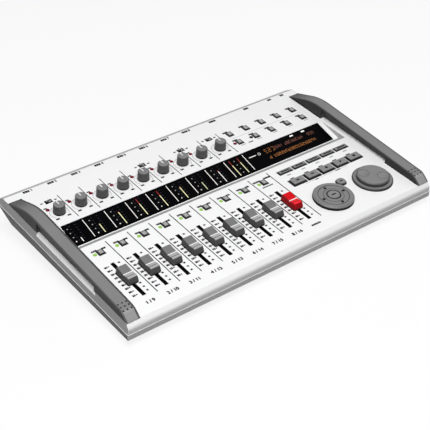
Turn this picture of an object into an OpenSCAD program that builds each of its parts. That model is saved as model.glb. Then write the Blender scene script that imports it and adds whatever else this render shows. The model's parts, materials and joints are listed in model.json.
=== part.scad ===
// Desktop multitrack recorder: a sloping deck with nine faders, nine knobs, a sunken
// display bay, a jog dial and two grip rails, over a tray case with a jack panel behind.
// Millimetres, +Z up, +Y to the rear. Deck pieces are drawn on the sloping deck plane, and
// their places along the slope are measured from the row line, a little before its middle.

/* [Case] */
// Width of the deck between the outer flanks of the rails
deck_w = 371; // [366:1:380]
// Depth of the flat deck along its slope
deck_d = 209.6; // [208:0.1:213]
// Distance of the deck's middle behind the row line
deck_mid = 4.3; // [4:0.1:4.6]
// Slope of the deck in degrees, rear edge higher
deck_tilt = 5.2; // [4.8:0.1:5.6]
// Height of the middle of the deck above the table
deck_z = 34.2; // [33.6:0.1:37]
// Thickness of the deck plate
deck_t = 2.5; // [2:0.1:2.8]
// Wall thickness of the mouldings
wall = 2.4; // [2:0.1:2.8]
// Height of the upper band round the deck
band_h = 10.4; // [9.8:0.1:11]
// Outward flare of the upper band at the sides
side_flare = 0.9; // [0.4:0.1:1.5]
// Outward flare of the upper band at the front
front_flare = 0.3; // [0.1:0.1:0.8]
// Depth of the apron before the deck
apron_d = 4.6; // [4:0.1:5]
// Drop of the apron before the deck
apron_h = 4.6; // [4:0.1:5.2]
// Depth of the bevel behind the deck
rear_bevel = 11.4; // [10:0.1:13]
// Height of the plain lip under the rear bevel
rear_lip = 3; // [2.6:0.1:3.6]
// Step by which the lower case stands proud of the upper band
seam_step = 0.6; // [0.3:0.1:1]
// Height of the lower band at the front
skirt_h = 6.1; // [5.6:0.1:7]
// Rake of the lower band's edge away from the deck, in degrees
skirt_rake = 1.57; // [1:0.01:2]
// Inward taper of the lower band at the sides
skirt_side_taper = 1; // [0.4:0.1:2]
// Inward taper of the lower band at the front
skirt_front_taper = 0.4; // [0.2:0.1:1]
// Forward slant of the rear end of the lower band
skirt_rear_slant = 26; // [22:0.5:28]
// Plan radius of the case corners
corner_r = 1.5; // [1:0.5:3]

/* [Belly] */
// Inset of the belly from the deck's outer edge
belly_inset = 11.5; // [10:0.5:14]
// Width of the chamfer along the belly's lower side edges
belly_chamfer_w = 9; // [8:0.5:10]
// Height of that chamfer
belly_chamfer_h = 13; // [12:0.5:14]
// Height of the belly's floor above the table
belly_z = 3.5; // [3:0.1:4]
// Distance from the case front to the belly's floor
belly_front = 24; // [20:1:30]
// Diameter of a rubber foot
foot_d = 14; // [10:0.5:18]
// Depth by which a foot is let into the floor
foot_sink = 1; // [0.5:0.1:1.4]
// Inset of the feet from the belly's sides
foot_inset_x = 26; // [22:1:40]
// Inset of the feet from the belly's front and rear
foot_inset_y = 14; // [11:1:30]

/* [Rails] */
// Width of a grip rail
rail_w = 14.2; // [12:0.1:15]
// Front end of the rails, from the row line
rail_front = -101.7; // [-104:0.1:-98]
// Rear end of the rails, from the row line
rail_rear = 99.1; // [96:0.1:103]
// Height of the rail where its front ramp ends
rail_front_h = 6.8; // [6.4:0.1:8]
// Length of the front ramp
rail_front_ramp = 9; // [7:0.5:12]
// Height of the rail where its rear ramp starts
rail_rear_h = 13; // [11:0.1:14]
// Length of the rear ramp
rail_rear_ramp = 35; // [28:1:42]
// Radius where the rail's top rolls into its ramps
rail_round_r = 14; // [8:1:18]
// Undercut of the inner flank along the grip
grip_in = 5.1; // [3:0.1:5.5]
// Undercut of the outer flank along the grip
grip_out = 2.8; // [1.5:0.1:3.5]
// Front end of the grip undercuts
grip_front = -48; // [-56:1:-40]
// Rear end of the grip undercuts
grip_rear = 46.5; // [40:0.5:54]
// Plain edge left above the undercuts
grip_edge = 1.2; // [0.8:0.1:2]
// Drop of the finger scoop where it leaves the upper band
scoop_drop = 3.9; // [3:0.1:4.5]
// Diameter of a microphone hole
mic_hole_d = 1.9; // [1.2:0.1:2.1]
// Pitch of the microphone holes
mic_pitch = 4.2; // [3.6:0.1:4.4]
// Middle of the microphone holes, from the row line
mic_y = -88.3; // [-90:0.1:-84]
// Diameter of a microphone capsule
mic_d = 6; // [5:0.5:7]
// Depth of a microphone capsule
mic_h = 3.4; // [3:0.1:3.8]

/* [Display bay] */
// Half width of the sunken bay
bay_half_w = 168.5; // [164:0.5:169]
// Rear edge of the bay, from the row line
bay_rear = 42.5; // [41:0.5:44]
// Lowest line of the bay
bay_low = 14; // [12:0.5:16]
// Front edge of the bay's lip
bay_front = 4.4; // [4:0.1:6]
// Depth of the lowest line under the deck
bay_depth = 6.4; // [5:0.1:7]
// Thickness of the bay's floor
bay_t = 3.2; // [3:0.1:3.6]
// Half width of the black window
window_half_w = 162.7; // [150:0.1:165]
// Thickness of the black window
window_t = 2; // [1.5:0.1:2.4]
// Distance of the first level bar from the window's end
meter_inset = 10.9; // [8:0.1:12]
// Margin of the floor that carries the window's edge
window_ledge = 2.6; // [2:0.1:4]
// Thickness of the circuit boards
board_t = 1.6; // [1.2:0.1:2]

/* [Channel strips] */
// Place of the first channel strip
strip_x0 = -151.8; // [-153:0.1:-151]
// Pitch of the channel strips
strip_pitch = 24.36; // [24:0.01:24.6]
// Distance of the knob row from the deck's rear edge
knob_inset = 47.9; // [46:0.1:49]
// Diameter of a knob
knob_d = 12; // [10:0.1:13]
// Diameter of a knob's top
knob_top_d = 11.4; // [9:0.1:12.5]
// Height of a knob's top above the deck
knob_h = 10; // [8:0.1:12]
// Diameter of a knob's shaft
knob_shaft_d = 6; // [5:0.1:6.4]
// Rear end of the fader slots
slot_rear = -28.5; // [-30:0.1:-27]
// Front end of the fader slots
slot_front = -80.2; // [-82:0.1:-79]
// Width of the fader slots
slot_w = 4; // [3.2:0.1:4.4]
// Length of a fader's cap
cap_len = 21; // [19:0.5:23]
// Width of a fader's cap
cap_w = 11; // [9:0.1:12]
// Width of the cap across its top
cap_top_w = 9.6; // [8:0.1:10]
// Height of the cap's rear end above the deck
cap_h = 8.2; // [7.6:0.1:9]
// Height of the cap's saddle above the deck
cap_saddle_h = 6.6; // [6:0.1:7]
// Place of the caps along the slots, as drawn
cap_y = -53; // [-56:0.1:-45]
// Length of a fader's stem along the slot
stem_len = 6; // [5:0.1:7]
// Row of the channel keys
channel_key_y = -10.2; // [-11:0.1:-9.6]
// Row of the channel lamps
channel_lamp_y = -10.6; // [-12:0.1:-10]
// Distance of a channel lamp from its key
channel_lamp_dx = 6.4; // [6:0.1:7]
// Distance of the input lamps from the deck's rear edge
input_lamp_inset = 38.9; // [37:0.1:39.6]
// Distance of an input lamp from its knob
input_lamp_dx = 7.6; // [7:0.1:9]
// Distance of the small slide switches from the deck's rear edge
switch_inset = 27.9; // [26:0.1:28.6]

/* [Keys] */
// Width of a channel or function key
small_key_w = 4.4; // [4:0.1:6]
// Depth of a channel or function key
small_key_d = 5.4; // [5:0.1:6.2]
// First function key
function_x0 = 68.1; // [67:0.1:70]
// Pitch of the function keys
function_pitch = 22; // [21:0.1:22.5]
// Distance of the rear function keys from the deck's rear edge
function_rear_inset = 32.4; // [31:0.1:33.5]
// Distance of the front function keys from the deck's rear edge
function_front_inset = 49.4; // [48:0.1:51]
// First soft key and first transport key
soft_x0 = 73.4; // [73:0.1:75]
// Pitch of the soft keys and the transport keys
soft_pitch = 19.34; // [19:0.01:19.8]
// Row of the soft keys
soft_y = -7.5; // [-8.5:0.1:-7]
// Width of a soft key
soft_w = 15.6; // [13:0.1:16.4]
// Depth of a soft key
soft_d = 4.2; // [3.4:0.1:4.6]
// Row of the transport keys
transport_y = -27.6; // [-29:0.1:-27]
// Width of a transport key
transport_w = 15.6; // [13:0.1:16.4]
// Depth of a transport key
transport_d = 9; // [7:0.1:10]
// Height of a small key above the deck
key_h = 1.3; // [1:0.1:2]
// Height of a transport key above the deck
transport_h = 2.2; // [1.6:0.1:2.6]
// Chamfer along the top edges of the keys
key_chamfer = 0.5; // [0.2:0.1:0.7]
// Travel of a key
key_travel = 0.7; // [0.5:0.1:0.8]

/* [Cursor pad and dial] */
// Middle of the cursor pad, across
pad_x = 84.4; // [83:0.1:86]
// Middle of the cursor pad, along the slope
pad_y = -68.4; // [-70:0.1:-67]
// Diameter of the cursor pad
pad_d = 42; // [38:0.5:44]
// Height of the cursor pad above the deck
pad_h = 4.4; // [4:0.1:5]
// Diameter of the enter key
enter_d = 12.6; // [10:0.1:13.4]
// Middle of the round key, across
round_key_x = 109; // [108.5:0.1:110]
// Middle of the round key, along the slope
round_key_y = -53.2; // [-54:0.1:-52]
// Diameter of the round key
round_key_d = 10; // [8:0.1:10.4]
// Middle of the jog dial, across
dial_x = 139.6; // [138:0.1:141]
// Middle of the jog dial, along the slope
dial_y = -67.4; // [-69:0.1:-66]
// Diameter of the dial's flange
dial_d = 42; // [38:0.5:44]
// Diameter of the dial's raised top
dial_top_d = 34; // [30:0.5:36]
// Height of the dial above the deck
dial_h = 6.6; // [5.5:0.1:8]
// Diameter of a finger dimple
dimple_d = 12; // [9:0.5:13]
// Distance of the dimples from the dial's middle
dimple_r = 10; // [9:0.1:10.5]
// Depth of a finger dimple
dimple_depth = 1.6; // [1:0.1:2]

/* [Rear panel] */
// Thickness of the rear panel
panel_t = 2; // [1.6:0.1:2.4]
// Pitch of the input jacks
jack_pitch = 27.4; // [27:0.1:27.6]
// Height of the jacks above the table
jack_z = 21.5; // [20.5:0.1:22]
// Diameter of an input jack's barrel
jack_d = 22.4; // [21:0.1:23]
// Depth of an input jack behind the panel
jack_depth = 24; // [20:0.5:25]
// Side of an input jack's square flange
jack_flange = 24.4; // [24:0.1:25]
// Diameter of a plug's hole
plug_d = 6.6; // [6.4:0.05:6.8]
// Depth of a plug's hole
plug_depth = 22; // [18:0.5:24]
// Diameter of a phone jack's bush
bush_d = 9.4; // [9:0.1:10]
// Length of a phone jack's bush outside the panel
bush_out = 10; // [6:0.5:11]
// First phone jack
phone_x0 = 58; // [57:1:62]
// Pitch of the phone jacks
phone_pitch = 23; // [20:0.5:24]
// Power switch, across
power_x = 135; // [130:1:140]
// Power inlet, across
inlet_x = 154; // [150:1:158]

/* [Battery bay] */
// Diameter of a cell
cell_d = 14.5; // [14.2:0.1:14.6]
// Length of a cell
cell_len = 50.5; // [49:0.5:51]
// Room for the contacts at each end of a row of cells
contact_room = 4; // [3:0.1:5]
// Rows of cells
cell_rows = 3; // [2:1:3]
// Front wall of the battery bay
battery_y = 14; // [13:0.5:16]
// Thickness of the battery door
door_t = 2; // [1.6:0.1:2.4]
// Margin of the door around the bay
door_margin = 3.4; // [3:0.1:4.5]

/* [Fits] */
// Gap between a moving piece and its opening
gap = 0.3; // [0.25:0.01:0.35]
// Gap round a fixed piece in its seat
seat_gap = 0.15; // [0.1:0.01:0.2]
// Radial gap round a turning shaft
shaft_gap = 0.05; // [0.03:0.01:0.08]

/* [Hidden] */
$fn = 48;
strips = 9;
half_w = deck_w / 2;
// The columns are placed for this width of the deck, and spread with it
column_w = 371;
function across(x) = x * deck_w / column_w;
deck_front = deck_d / 2 - deck_mid;
deck_rear = deck_d / 2 + deck_mid;
// Reach past a face so that a cut goes clean through it
past = 1;
// Height of the circuit boards' top face under the deck
board_w = -10.5;
// Outer lines of the upper band and of the lower case
band_x = half_w + side_flare;
apron_front = deck_front + apron_d;
band_front = apron_front + front_flare;
band_rear = deck_rear + rear_bevel;
case_x = band_x + seam_step;
case_front = band_front + seam_step;
// Height of the lower band's edge at a place along the slope
function skirt_floor(y) = -band_h - skirt_h - (y + case_front) * tan(skirt_rake);
skirt_front = -case_front + skirt_front_taper;
skirt_rear = band_rear - skirt_rear_slant;
// The case is centred front to rear over its whole reach
panel_reach = band_rear * cos(deck_tilt) + band_h * sin(deck_tilt) - wall - gap;
front_reach = case_front * cos(deck_tilt) - band_h * sin(deck_tilt);
deck_y = (front_reach - panel_reach - bush_out) / 2;
panel_y = deck_y + panel_reach;
case_y0 = deck_y - front_reach;
// Belly outline
belly_x = half_w - belly_inset;
belly_y0 = case_y0 + belly_front;
belly_y1 = panel_y - seat_gap;
belly_top = deck_z + deck_rear * sin(deck_tilt);
// Rails, drawn for the right side
rail_in = half_w - rail_w;
rail_slope = atan((rail_rear_h - rail_front_h)
    / (rail_rear - rail_rear_ramp - rail_front - rail_front_ramp));
rail_front_top = [rail_front + rail_front_ramp, rail_front_h];
rail_rear_top = [rail_rear - rail_rear_ramp, rail_rear_h];
peg_d = 4;
pegs_y = [grip_front - 3.5 * peg_d, grip_rear + 4 * peg_d];
mic_pocket_d = mic_d + 2 * seat_gap;
mic_roof = 1.5;
// Height of the rail's top at a place along it
function rail_top(y) = rail_front_h + (y - rail_front_top[0]) * tan(rail_slope);
// Display bay floor
bay_tilt = atan(bay_depth / (bay_rear - bay_low));
bay_side = across(bay_half_w);
window_side = across(window_half_w);
bay_len = (bay_rear - bay_low) / cos(bay_tilt);
bay_drop = bay_t / cos(bay_tilt);
window_rear_margin = 0.4;
window_len = bay_len - window_rear_margin - 1;
// Rows and columns
knob_y = deck_rear - knob_inset;
input_lamp_y = deck_rear - input_lamp_inset;
switch_y = deck_rear - switch_inset;
function_rear_y = deck_rear - function_rear_inset;
function_front_y = deck_rear - function_front_inset;
function strip_x(i) = across(strip_x0 + strip_pitch * i);
function between_x(i) = strip_x(i + 0.5);
slot_mid = (slot_rear + slot_front) / 2;
slot_len = slot_rear - slot_front;
pot_w = 9;
pot_len = slot_len + pot_w;
pot_top = -deck_t - seat_gap;
groove_floor = -8;
stem_floor = groove_floor + gap;
stem_w = slot_w - 2 * gap;
cap_foot = 1.2;
cap_line_y = -1.1;
bush_r = knob_shaft_d / 2 + 1.4;
pot_side = 11;
pot_body_top = -deck_t - seat_gap;
shaft_floor = -6;
knob_foot = 0.8;
// Keys and their switches
flange = 0.9;
flange_t = 1;
flange_top = -deck_t - gap;
tact_side = 6;
tact_top = -7.4;
plunger = 3;
plunger_floor = tact_top + key_travel + gap;
small_key = [small_key_w, small_key_d];
soft_key = [across(soft_w), soft_d];
transport_key = [across(transport_w), transport_d];
key_count = 5;
function function_x(i) = across(function_x0 + function_pitch * i);
function soft_x(i) = across(soft_x0 + soft_pitch * i);
channel_keys_at = [for (i = [0 : strips - 1]) [strip_x(i), channel_key_y]];
transport_keys_at = [for (i = [0 : key_count - 1]) [soft_x(i), transport_y]];
soft_keys_at = [for (i = [0 : key_count - 1]) [soft_x(i), soft_y]];
function_rear_at = [for (i = [0 : key_count - 1]) [function_x(i), function_rear_y]];
function_front_at = [for (i = [0 : key_count - 1]) [function_x(i), function_front_y]];
round_key_at = [across(round_key_x), round_key_y];
enter_at = [across(pad_x), pad_y];
dial_at = [across(dial_x), dial_y];
// Lamps
lamp_d = 2.8;
lamp_h = 0.4;
function_lamp_dx = 6.2;
input_lamps_at = [for (i = [0 : strips - 2]) [strip_x(i) - input_lamp_dx, input_lamp_y]];
channel_lamps_at = [for (i = [0 : strips - 1]) [strip_x(i) - channel_lamp_dx, channel_lamp_y]];
function_lamps_at = [for (i = [0, 1]) [function_x(i) - function_lamp_dx, function_front_y]];
lamps_at = concat(input_lamps_at, channel_lamps_at, function_lamps_at);
// Small slide switches over strips 1, 5 to 6, 7 to 8 and 9
switches_at = [for (x = [strip_x(0), between_x(4), between_x(6), strip_x(8)]) [x, switch_y]];
switch_slot = [6.4, 2.8];
switch_lever = [2.6, 2];
switch_h = 1.6;
switch_body = [8, 4.4];
switch_floor = -6;
// Cursor pad
pad_lift = 1.2;
pad_bore = enter_d + 1.2;
hub_d = pad_bore + 4.6;
hub_hole_d = hub_d + 1.4;
pad_post_top = -7.6;
pad_floor = pad_post_top + gap;
pad_pin_d = 2;
enter_h = pad_h + 0.5;
// Dial
dial_lift = 0.6;
dial_flange_h = 2.4;
dial_shaft_d = 6;
encoder_side = 15;
encoder_bush_d = 9;
// Boards
board_edge = 3;
board_half_w = half_w - rail_w;
front_board = [-deck_front + board_edge, bay_front - 2 * wall];
rear_board = [bay_rear + wall + 1.1, switch_y + 2 * board_edge];
board_boss_d = 5;
front_bosses = concat(
    [for (i = [0, 3, 6]) [between_x(i), channel_key_y - 8]],
    [for (i = [0, 3, 6]) [between_x(i), slot_front - pot_w]],
    [[(enter_at[0] + dial_at[0]) / 2, dial_y - dial_d / 2]],
    [[dial_at[0] + dial_d / 2, transport_y - transport_d]]);
rear_bosses = concat(
    [for (i = [0, 4, 7]) [between_x(i), rear_board[0] + board_edge]],
    [[function_x(key_count - 2 / 3), rear_board[0] + board_edge]],
    [[function_x(key_count / 2), rear_board[1] - board_edge]],
    [[between_x(1), rear_board[1] - board_edge]]);
// Case screws
screw_d = 2.6;
screw_head_d = 5.2;
screw_head_h = 1.8;
screw_seat_h = 2.8;
screw_boss_d = 6.4;
screw_len = 12;
screw_x = half_w - 9;
screw_front = 11;
screw_rear = 26;
screws_y = [-deck_front + screw_front, bay_low - 4, deck_rear - screw_rear];
screws_at = [for (x = [-screw_x, screw_x], y = screws_y) [x, y]];
// Height of the lower case's screw seat, in which the cover's boss stands
function seat_top(y) = skirt_floor(y) + wall + screw_seat_h;
// Right side ports: host socket, card slot, device socket, as [place, length, height]
ports = [[-62, 13.2, 5.6], [-28, 26, 2.6], [2, 7.8, 4]];
port_depth = 16;
port_shell = 0.6;
port_lift = 0.7;
function port_z(p) = board_w + port_lift + p[2] / 2;
// Rear panel
panel_bottom = belly_z + wall;
panel_top = deck_z + (band_rear - wall) * sin(deck_tilt) - (band_h - rear_lip + wall / 2) * cos(deck_tilt);
jacks = 8;
jack_x0 = jack_flange / 2 + wall - belly_x;
function jack_x(i) = jack_x0 + across(jack_pitch) * i;
function phone_x(i) = across(phone_x0 + phone_pitch * i);
power_at = across(power_x);
inlet_at = across(inlet_x);
phone_count = 3;
phone_body = [15, 22, 14];
flange_face_t = 2;
nut_w = 13;
nut_t = 2.4;
xlr_hole_d = 3.2;
xlr_ring_r = 6.6;
xlr_depth = 4;
jack_ring_t = 0.6;
inlet_d = 5.6;
inlet_pin_d = 2;
inlet_body = [9, 12, 11];
inlet_depth = 9;
power_slot = [9.5, 4.6];
power_lever = [4.4, 4];
power_out = 2.6;
power_body = [16, 8, 9];
power_travel = 4.4;
// Battery bay
bay_x = 2 * cell_len + 2 * contact_room;
bay_y = cell_rows * cell_d + 2;
bay_z = cell_d + 1;
bay_wall = 1.8;
door_len = bay_y + 2 * door_margin;
door_x = bay_x / 2 + door_margin;
hinge_y = battery_y - door_margin + door_t / 2;
hinge_z = belly_z + door_t / 2;
hinge_pin_d = 1.2;
hinge_pin_out = 1.6;
door_frame_t = door_t + gap + bay_wall;
finger_d = 16;
contact_t = 0.5;
contact_w = 11;
feet_at = [for (x = [-1, 1], y = [belly_y0 + foot_inset_y, belly_y1 - foot_inset_y])
    [x * (belly_x - foot_inset_x), y]];

function numbered(name, count) = [for (i = [1 : count]) str(name, i)];

// Put children on the sloping deck plane
module on_deck() {
    translate([0, deck_y, deck_z]) rotate([deck_tilt, 0, 0]) children();
}

// Put children on the display bay's floor, y running back up to its rear edge
module on_bay_floor() {
    on_deck() translate([0, bay_rear, 0]) rotate([bay_tilt, 0, 0]) children();
}

// Sweep a side view, drawn as [y, z], across from x0 to x1
module sweep_across(x0, x1) {
    translate([x0, 0, 0]) rotate([90, 0, 90]) linear_extrude(x1 - x0) children();
}

// Sweep a front view, drawn as [x, z], back from y0 to y1
module sweep_back(y0, y1) {
    translate([0, y1, 0]) rotate([90, 0, 0]) linear_extrude(y1 - y0) children();
}

// Extrude a plan view between two heights
module rise(z0, z1) {
    translate([0, 0, z0]) linear_extrude(z1 - z0) children();
}

module rounded_rect(size, r) {
    square([size[0] - 2 * r, size[1]], center = true);
    square([size[0], size[1] - 2 * r], center = true);
    for (x = [-1, 1], y = [-1, 1])
        translate([x * (size[0] / 2 - r), y * (size[1] / 2 - r)]) circle(r);
}

module case_plan(x, front, rear, r) {
    translate([0, (rear - front) / 2]) rounded_rect([2 * x, rear + front], r);
}

// Points along an arc that rounds the corner at p between directions a and b
function turn(p, a, b, reach) = [for (i = [0 : 6])
    let (t = i / 6)
    p - a * reach * (1 - t) * (1 - t) + b * reach * t * t];

module rail_side_view() {
    up = (rail_front_top - [rail_front, 0]) / norm(rail_front_top - [rail_front, 0]);
    along = (rail_rear_top - rail_front_top) / norm(rail_rear_top - rail_front_top);
    down = ([rail_rear, 0] - rail_rear_top) / norm([rail_rear, 0] - rail_rear_top);
    polygon(concat(
        [[rail_front, 0]],
        turn(rail_front_top, up, along, rail_round_r / 4),
        turn(rail_rear_top, along, down, rail_round_r),
        [[rail_rear, 0]]));
}

// Wedge cut out of a rail's flank along the grip, rounded at its front end
module grip_cut(depth) {
    length = grip_rear - grip_front;
    intersection() {
        translate([0, grip_front, 0]) rotate([rail_slope, 0, 0])
            sweep_back(-depth - past, length + past)
                polygon([[-past, -2 * rail_rear_h], [depth, -2 * rail_rear_h],
                    [depth, 0], [0, rail_top(grip_front) - grip_edge],
                    [-past, rail_top(grip_front) - grip_edge]]);
        rise(-past, 2 * rail_rear_h) {
            translate([-past, grip_front]) square([depth + past, length]);
            translate([0, grip_front]) circle(depth);
        }
    }
}

module mic_grid() {
    for (i = [-1 : 1], j = [-1 : 1])
        translate([rail_in + rail_w / 2 + i * mic_pitch, mic_y + j * mic_pitch]) children();
}

mic_seat = rail_top(mic_y) - mic_roof;

module rail() {
    difference() {
        union() {
            sweep_across(rail_in, half_w) rail_side_view();
            for (y = pegs_y)
                translate([rail_in + rail_w / 2, y, -deck_t]) cylinder(d = peg_d, h = deck_t + past);
        }
        translate([rail_in, 0, 0]) grip_cut(grip_in);
        translate([half_w, 0, 0]) mirror([1, 0, 0]) grip_cut(grip_out);
        translate([rail_in + rail_w / 2, mic_y, -past])
            cylinder(d = mic_pocket_d, h = mic_seat + past);
        mic_grid() cylinder(d = mic_hole_d, h = rail_rear_h);
    }
}

module left_rail() {
    color("dimgray") on_deck() mirror([1, 0, 0]) rail();
}

module right_rail() {
    color("dimgray") on_deck() rail();
}

module mic_capsules() {
    color("silver") on_deck()
        for (side = [-1, 1])
            translate([side * (rail_in + rail_w / 2), mic_y, mic_seat - mic_h])
                cylinder(d = mic_d, h = mic_h);
}

// Outer form of the cover: rolled apron and bands at front and sides, bevel behind
module cover_form() {
    up = [front_flare, band_h - apron_h] / norm([front_flare, band_h - apron_h]);
    back = [apron_d, apron_h] / norm([apron_d, apron_h]);
    intersection() {
        sweep_across(-band_x, band_x)
            polygon(concat([[-band_front, -band_h]],
                turn([-apron_front, -apron_h], up, back, apron_d / 2),
                turn([-deck_front, 0], back, [1, 0], apron_d / 4),
                [[deck_rear, 0], [band_rear, rear_lip - band_h], [band_rear, -band_h]]));
        sweep_back(-band_front, band_rear)
            polygon([[-band_x, -band_h], [-half_w, 0], [half_w, 0], [band_x, -band_h]]);
        rise(-band_h, 0) case_plan(band_x, band_front, band_rear, corner_r);
    }
}

module bay_side_view() {
    polygon([[bay_front, 0], [bay_low, -bay_depth], [bay_rear, 0], [bay_rear, past], [bay_front, past]]);
}

module bay_shell() {
    sweep_across(-bay_side - wall, bay_side + wall)
        polygon([[bay_front - wall, -deck_t / 2], [bay_low - wall, -bay_depth - bay_drop],
            [bay_low, -bay_depth - bay_drop], [bay_rear + wall, wall * tan(bay_tilt) - bay_drop],
            [bay_rear + wall, -deck_t / 2]]);
}

module window_plan(margin) {
    square_len = window_len + 2 * margin;
    translate([-window_side - margin, -window_rear_margin - window_len - margin])
        square([2 * (window_side + margin), square_len]);
}

module finger_scoop() {
    inner = half_w - grip_out;
    run = grip_out + side_flare + past;
    fall = scoop_drop / (grip_out + side_flare / 2);
    sweep_back(grip_front - grip_in, grip_rear)
        polygon([[inner, 0], [inner + run, -fall * run], [inner + run, past], [inner, past]]);
}

module key_holes(places, size) {
    for (p = places)
        translate(p) square(size + [2 * gap, 2 * gap], center = true);
}

// Every opening of the deck that goes straight through the plate
module deck_openings() {
    for (i = [0 : strips - 1]) {
        translate([strip_x(i), slot_mid]) square([slot_w, slot_len], center = true);
        translate([strip_x(i), knob_y]) circle(bush_r + seat_gap);
    }
    key_holes(channel_keys_at, small_key);
    key_holes(function_rear_at, small_key);
    key_holes(function_front_at, small_key);
    key_holes(soft_keys_at, soft_key);
    key_holes(transport_keys_at, transport_key);
    for (p = switches_at)
        translate(p) square(switch_slot, center = true);
    for (p = lamps_at)
        translate(p) circle(lamp_d / 2 + seat_gap);
    translate(round_key_at) circle(round_key_d / 2 + gap);
    translate(enter_at) circle(d = hub_hole_d);
    translate(dial_at) circle(encoder_bush_d / 2 + seat_gap);
    for (side = [-1, 1]) {
        for (y = pegs_y)
            translate([side * (rail_in + rail_w / 2), y]) circle(peg_d / 2 + seat_gap);
        translate([side * (rail_in + rail_w / 2), mic_y]) circle(d = mic_d - 1);
    }
}

module top_cover() {
    color("whitesmoke") on_deck() difference() {
        union() {
            difference() {
                cover_form();
                rise(-band_h - past, -deck_t)
                    case_plan(half_w - wall, deck_front - wall / 2, deck_rear + wall / 2, corner_r);
                rise(-band_h - past, rear_lip - band_h - wall / 3)
                    case_plan(half_w - wall, 0, band_rear - wall, corner_r);
            }
            bay_shell();
            for (p = concat(front_bosses, rear_bosses))
                translate([p[0], p[1], board_w]) cylinder(d = board_boss_d, h = -board_w - past);
            for (p = screws_at)
                translate([p[0], p[1], seat_top(p[1])])
                    cylinder(d = screw_boss_d, h = -seat_top(p[1]) - past);
        }
        sweep_across(-bay_side, bay_side) bay_side_view();
        translate([0, bay_rear, 0]) rotate([bay_tilt, 0, 0]) {
            rise(-window_t, past) window_plan(seat_gap);
            rise(-bay_t - past, past) window_plan(-window_ledge);
        }
        rise(-deck_t - past, past) deck_openings();
        for (p = screws_at)
            translate([p[0], p[1], seat_top(p[1]) - past])
                cylinder(d = screw_d + 2 * seat_gap, h = past - deck_t - seat_top(p[1]));
        port_cuts();
        finger_scoop();
        mirror([1, 0, 0]) finger_scoop();
    }
}

module display_window() {
    color("black") on_bay_floor() rise(-window_t, 0) window_plan(0);
}

module display_module() {
    bar = [1.6, window_len - 2 * window_ledge - 5];
    first_x = meter_inset - window_side;
    steps = concat([for (i = [0 : strips - 2]) i], [strips - 1.2, strips - 0.8]);
    bars_x = [for (i = steps) first_x + across(strip_pitch) * i];
    glass = [window_side / 2, window_len - 2 * window_ledge - 2];
    glass_x = window_side - window_ledge - gap - glass[0] / 2;
    lift = bay_t - window_t - gap;
    mid = -window_rear_margin - window_len / 2;
    color("darkgreen") on_bay_floor() {
        rise(-bay_t - board_t, -bay_t) window_plan(-seat_gap);
        rise(-bay_t - board_t, -bay_t + lift) {
            for (x = bars_x)
                translate([x, mid]) square(bar, center = true);
            translate([glass_x, mid]) square(glass, center = true);
        }
    }
}

// Lower case in the deck's frame: tapered skirts with a slanted rear end
module skirt_form(inset) {
    fall = -band_h - skirt_floor(skirt_rear);
    rear_shift = inset * norm([skirt_rear_slant, fall]) / fall;
    deepest = skirt_floor(skirt_rear);
    intersection() {
        sweep_across(-case_x, case_x)
            polygon([[-case_front + inset, -band_h],
                [skirt_front + inset, skirt_floor(skirt_front) + inset],
                [skirt_rear + skirt_rear_slant * inset / fall - rear_shift, deepest + inset],
                [band_rear - rear_shift, -band_h]]);
        sweep_back(-case_front, band_rear)
            polygon([[-case_x + inset, -band_h], [-case_x + skirt_side_taper + inset, deepest],
                [case_x - skirt_side_taper - inset, deepest], [case_x - inset, -band_h]]);
        rise(deepest, -band_h)
            case_plan(case_x - inset, case_front - inset, band_rear, max(corner_r - inset, past));
    }
}

// Belly in the table's frame: chamfered sides, sloping front, open behind
module belly_form(inset, rear) {
    intersection() {
        sweep_back(belly_y0 - belly_front, rear)
            polygon([[-belly_x + inset, belly_top], [-belly_x + inset, belly_z + belly_chamfer_h],
                [-belly_x + belly_chamfer_w + inset, belly_z + inset],
                [belly_x - belly_chamfer_w - inset, belly_z + inset],
                [belly_x - inset, belly_z + belly_chamfer_h], [belly_x - inset, belly_top]]);
        sweep_across(-belly_x, belly_x)
            polygon([[belly_y0 + inset, belly_z + inset], [rear, belly_z + inset], [rear, belly_top],
                [belly_y0 - skirt_h + inset, belly_top],
                [belly_y0 - skirt_h + inset, belly_z + skirt_h + inset]]);
    }
}

// Space under the lower case's rim plane, in the table's frame
module under_rim() {
    on_deck() rise(-3 * deck_z, -band_h) square(3 * deck_w, center = true);
}

module battery_block() {
    frame_x = door_x + hinge_pin_out + 2 * bay_wall;
    frame_y = hinge_y - door_t / 2 - gap - bay_wall;
    frame_len = door_len + 2 * bay_wall + 2 * gap;
    translate([-frame_x, frame_y, belly_z]) cube([2 * frame_x, frame_len, door_frame_t]);
    translate([-bay_x / 2 - bay_wall, battery_y - bay_wall, belly_z])
        cube([bay_x + 2 * bay_wall, bay_y + 2 * bay_wall, door_t + gap + bay_z + bay_wall]);
}

module battery_space() {
    translate([-bay_x / 2, battery_y, belly_z - past])
        cube([bay_x, bay_y, door_t + gap + bay_z + past]);
    translate([-door_x - gap, hinge_y - door_t / 2 - gap, belly_z - past])
        cube([2 * (door_x + gap), door_len + 2 * gap, door_t + gap + past]);
    translate([-door_x - hinge_pin_out - gap, hinge_y, hinge_z]) rotate([0, 90, 0])
        cylinder(d = hinge_pin_d + 2 * shaft_gap, h = 2 * (door_x + hinge_pin_out + gap));
    translate([0, hinge_y - door_t / 2 + door_len, belly_z - past])
        cylinder(d = finger_d, h = door_t + past);
}

module port_cuts() {
    for (p = ports)
        translate([case_x, p[0], port_z(p)])
            cube([2 * port_depth, p[1] + 2 * seat_gap, p[2] + 2 * seat_gap], center = true);
}

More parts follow.
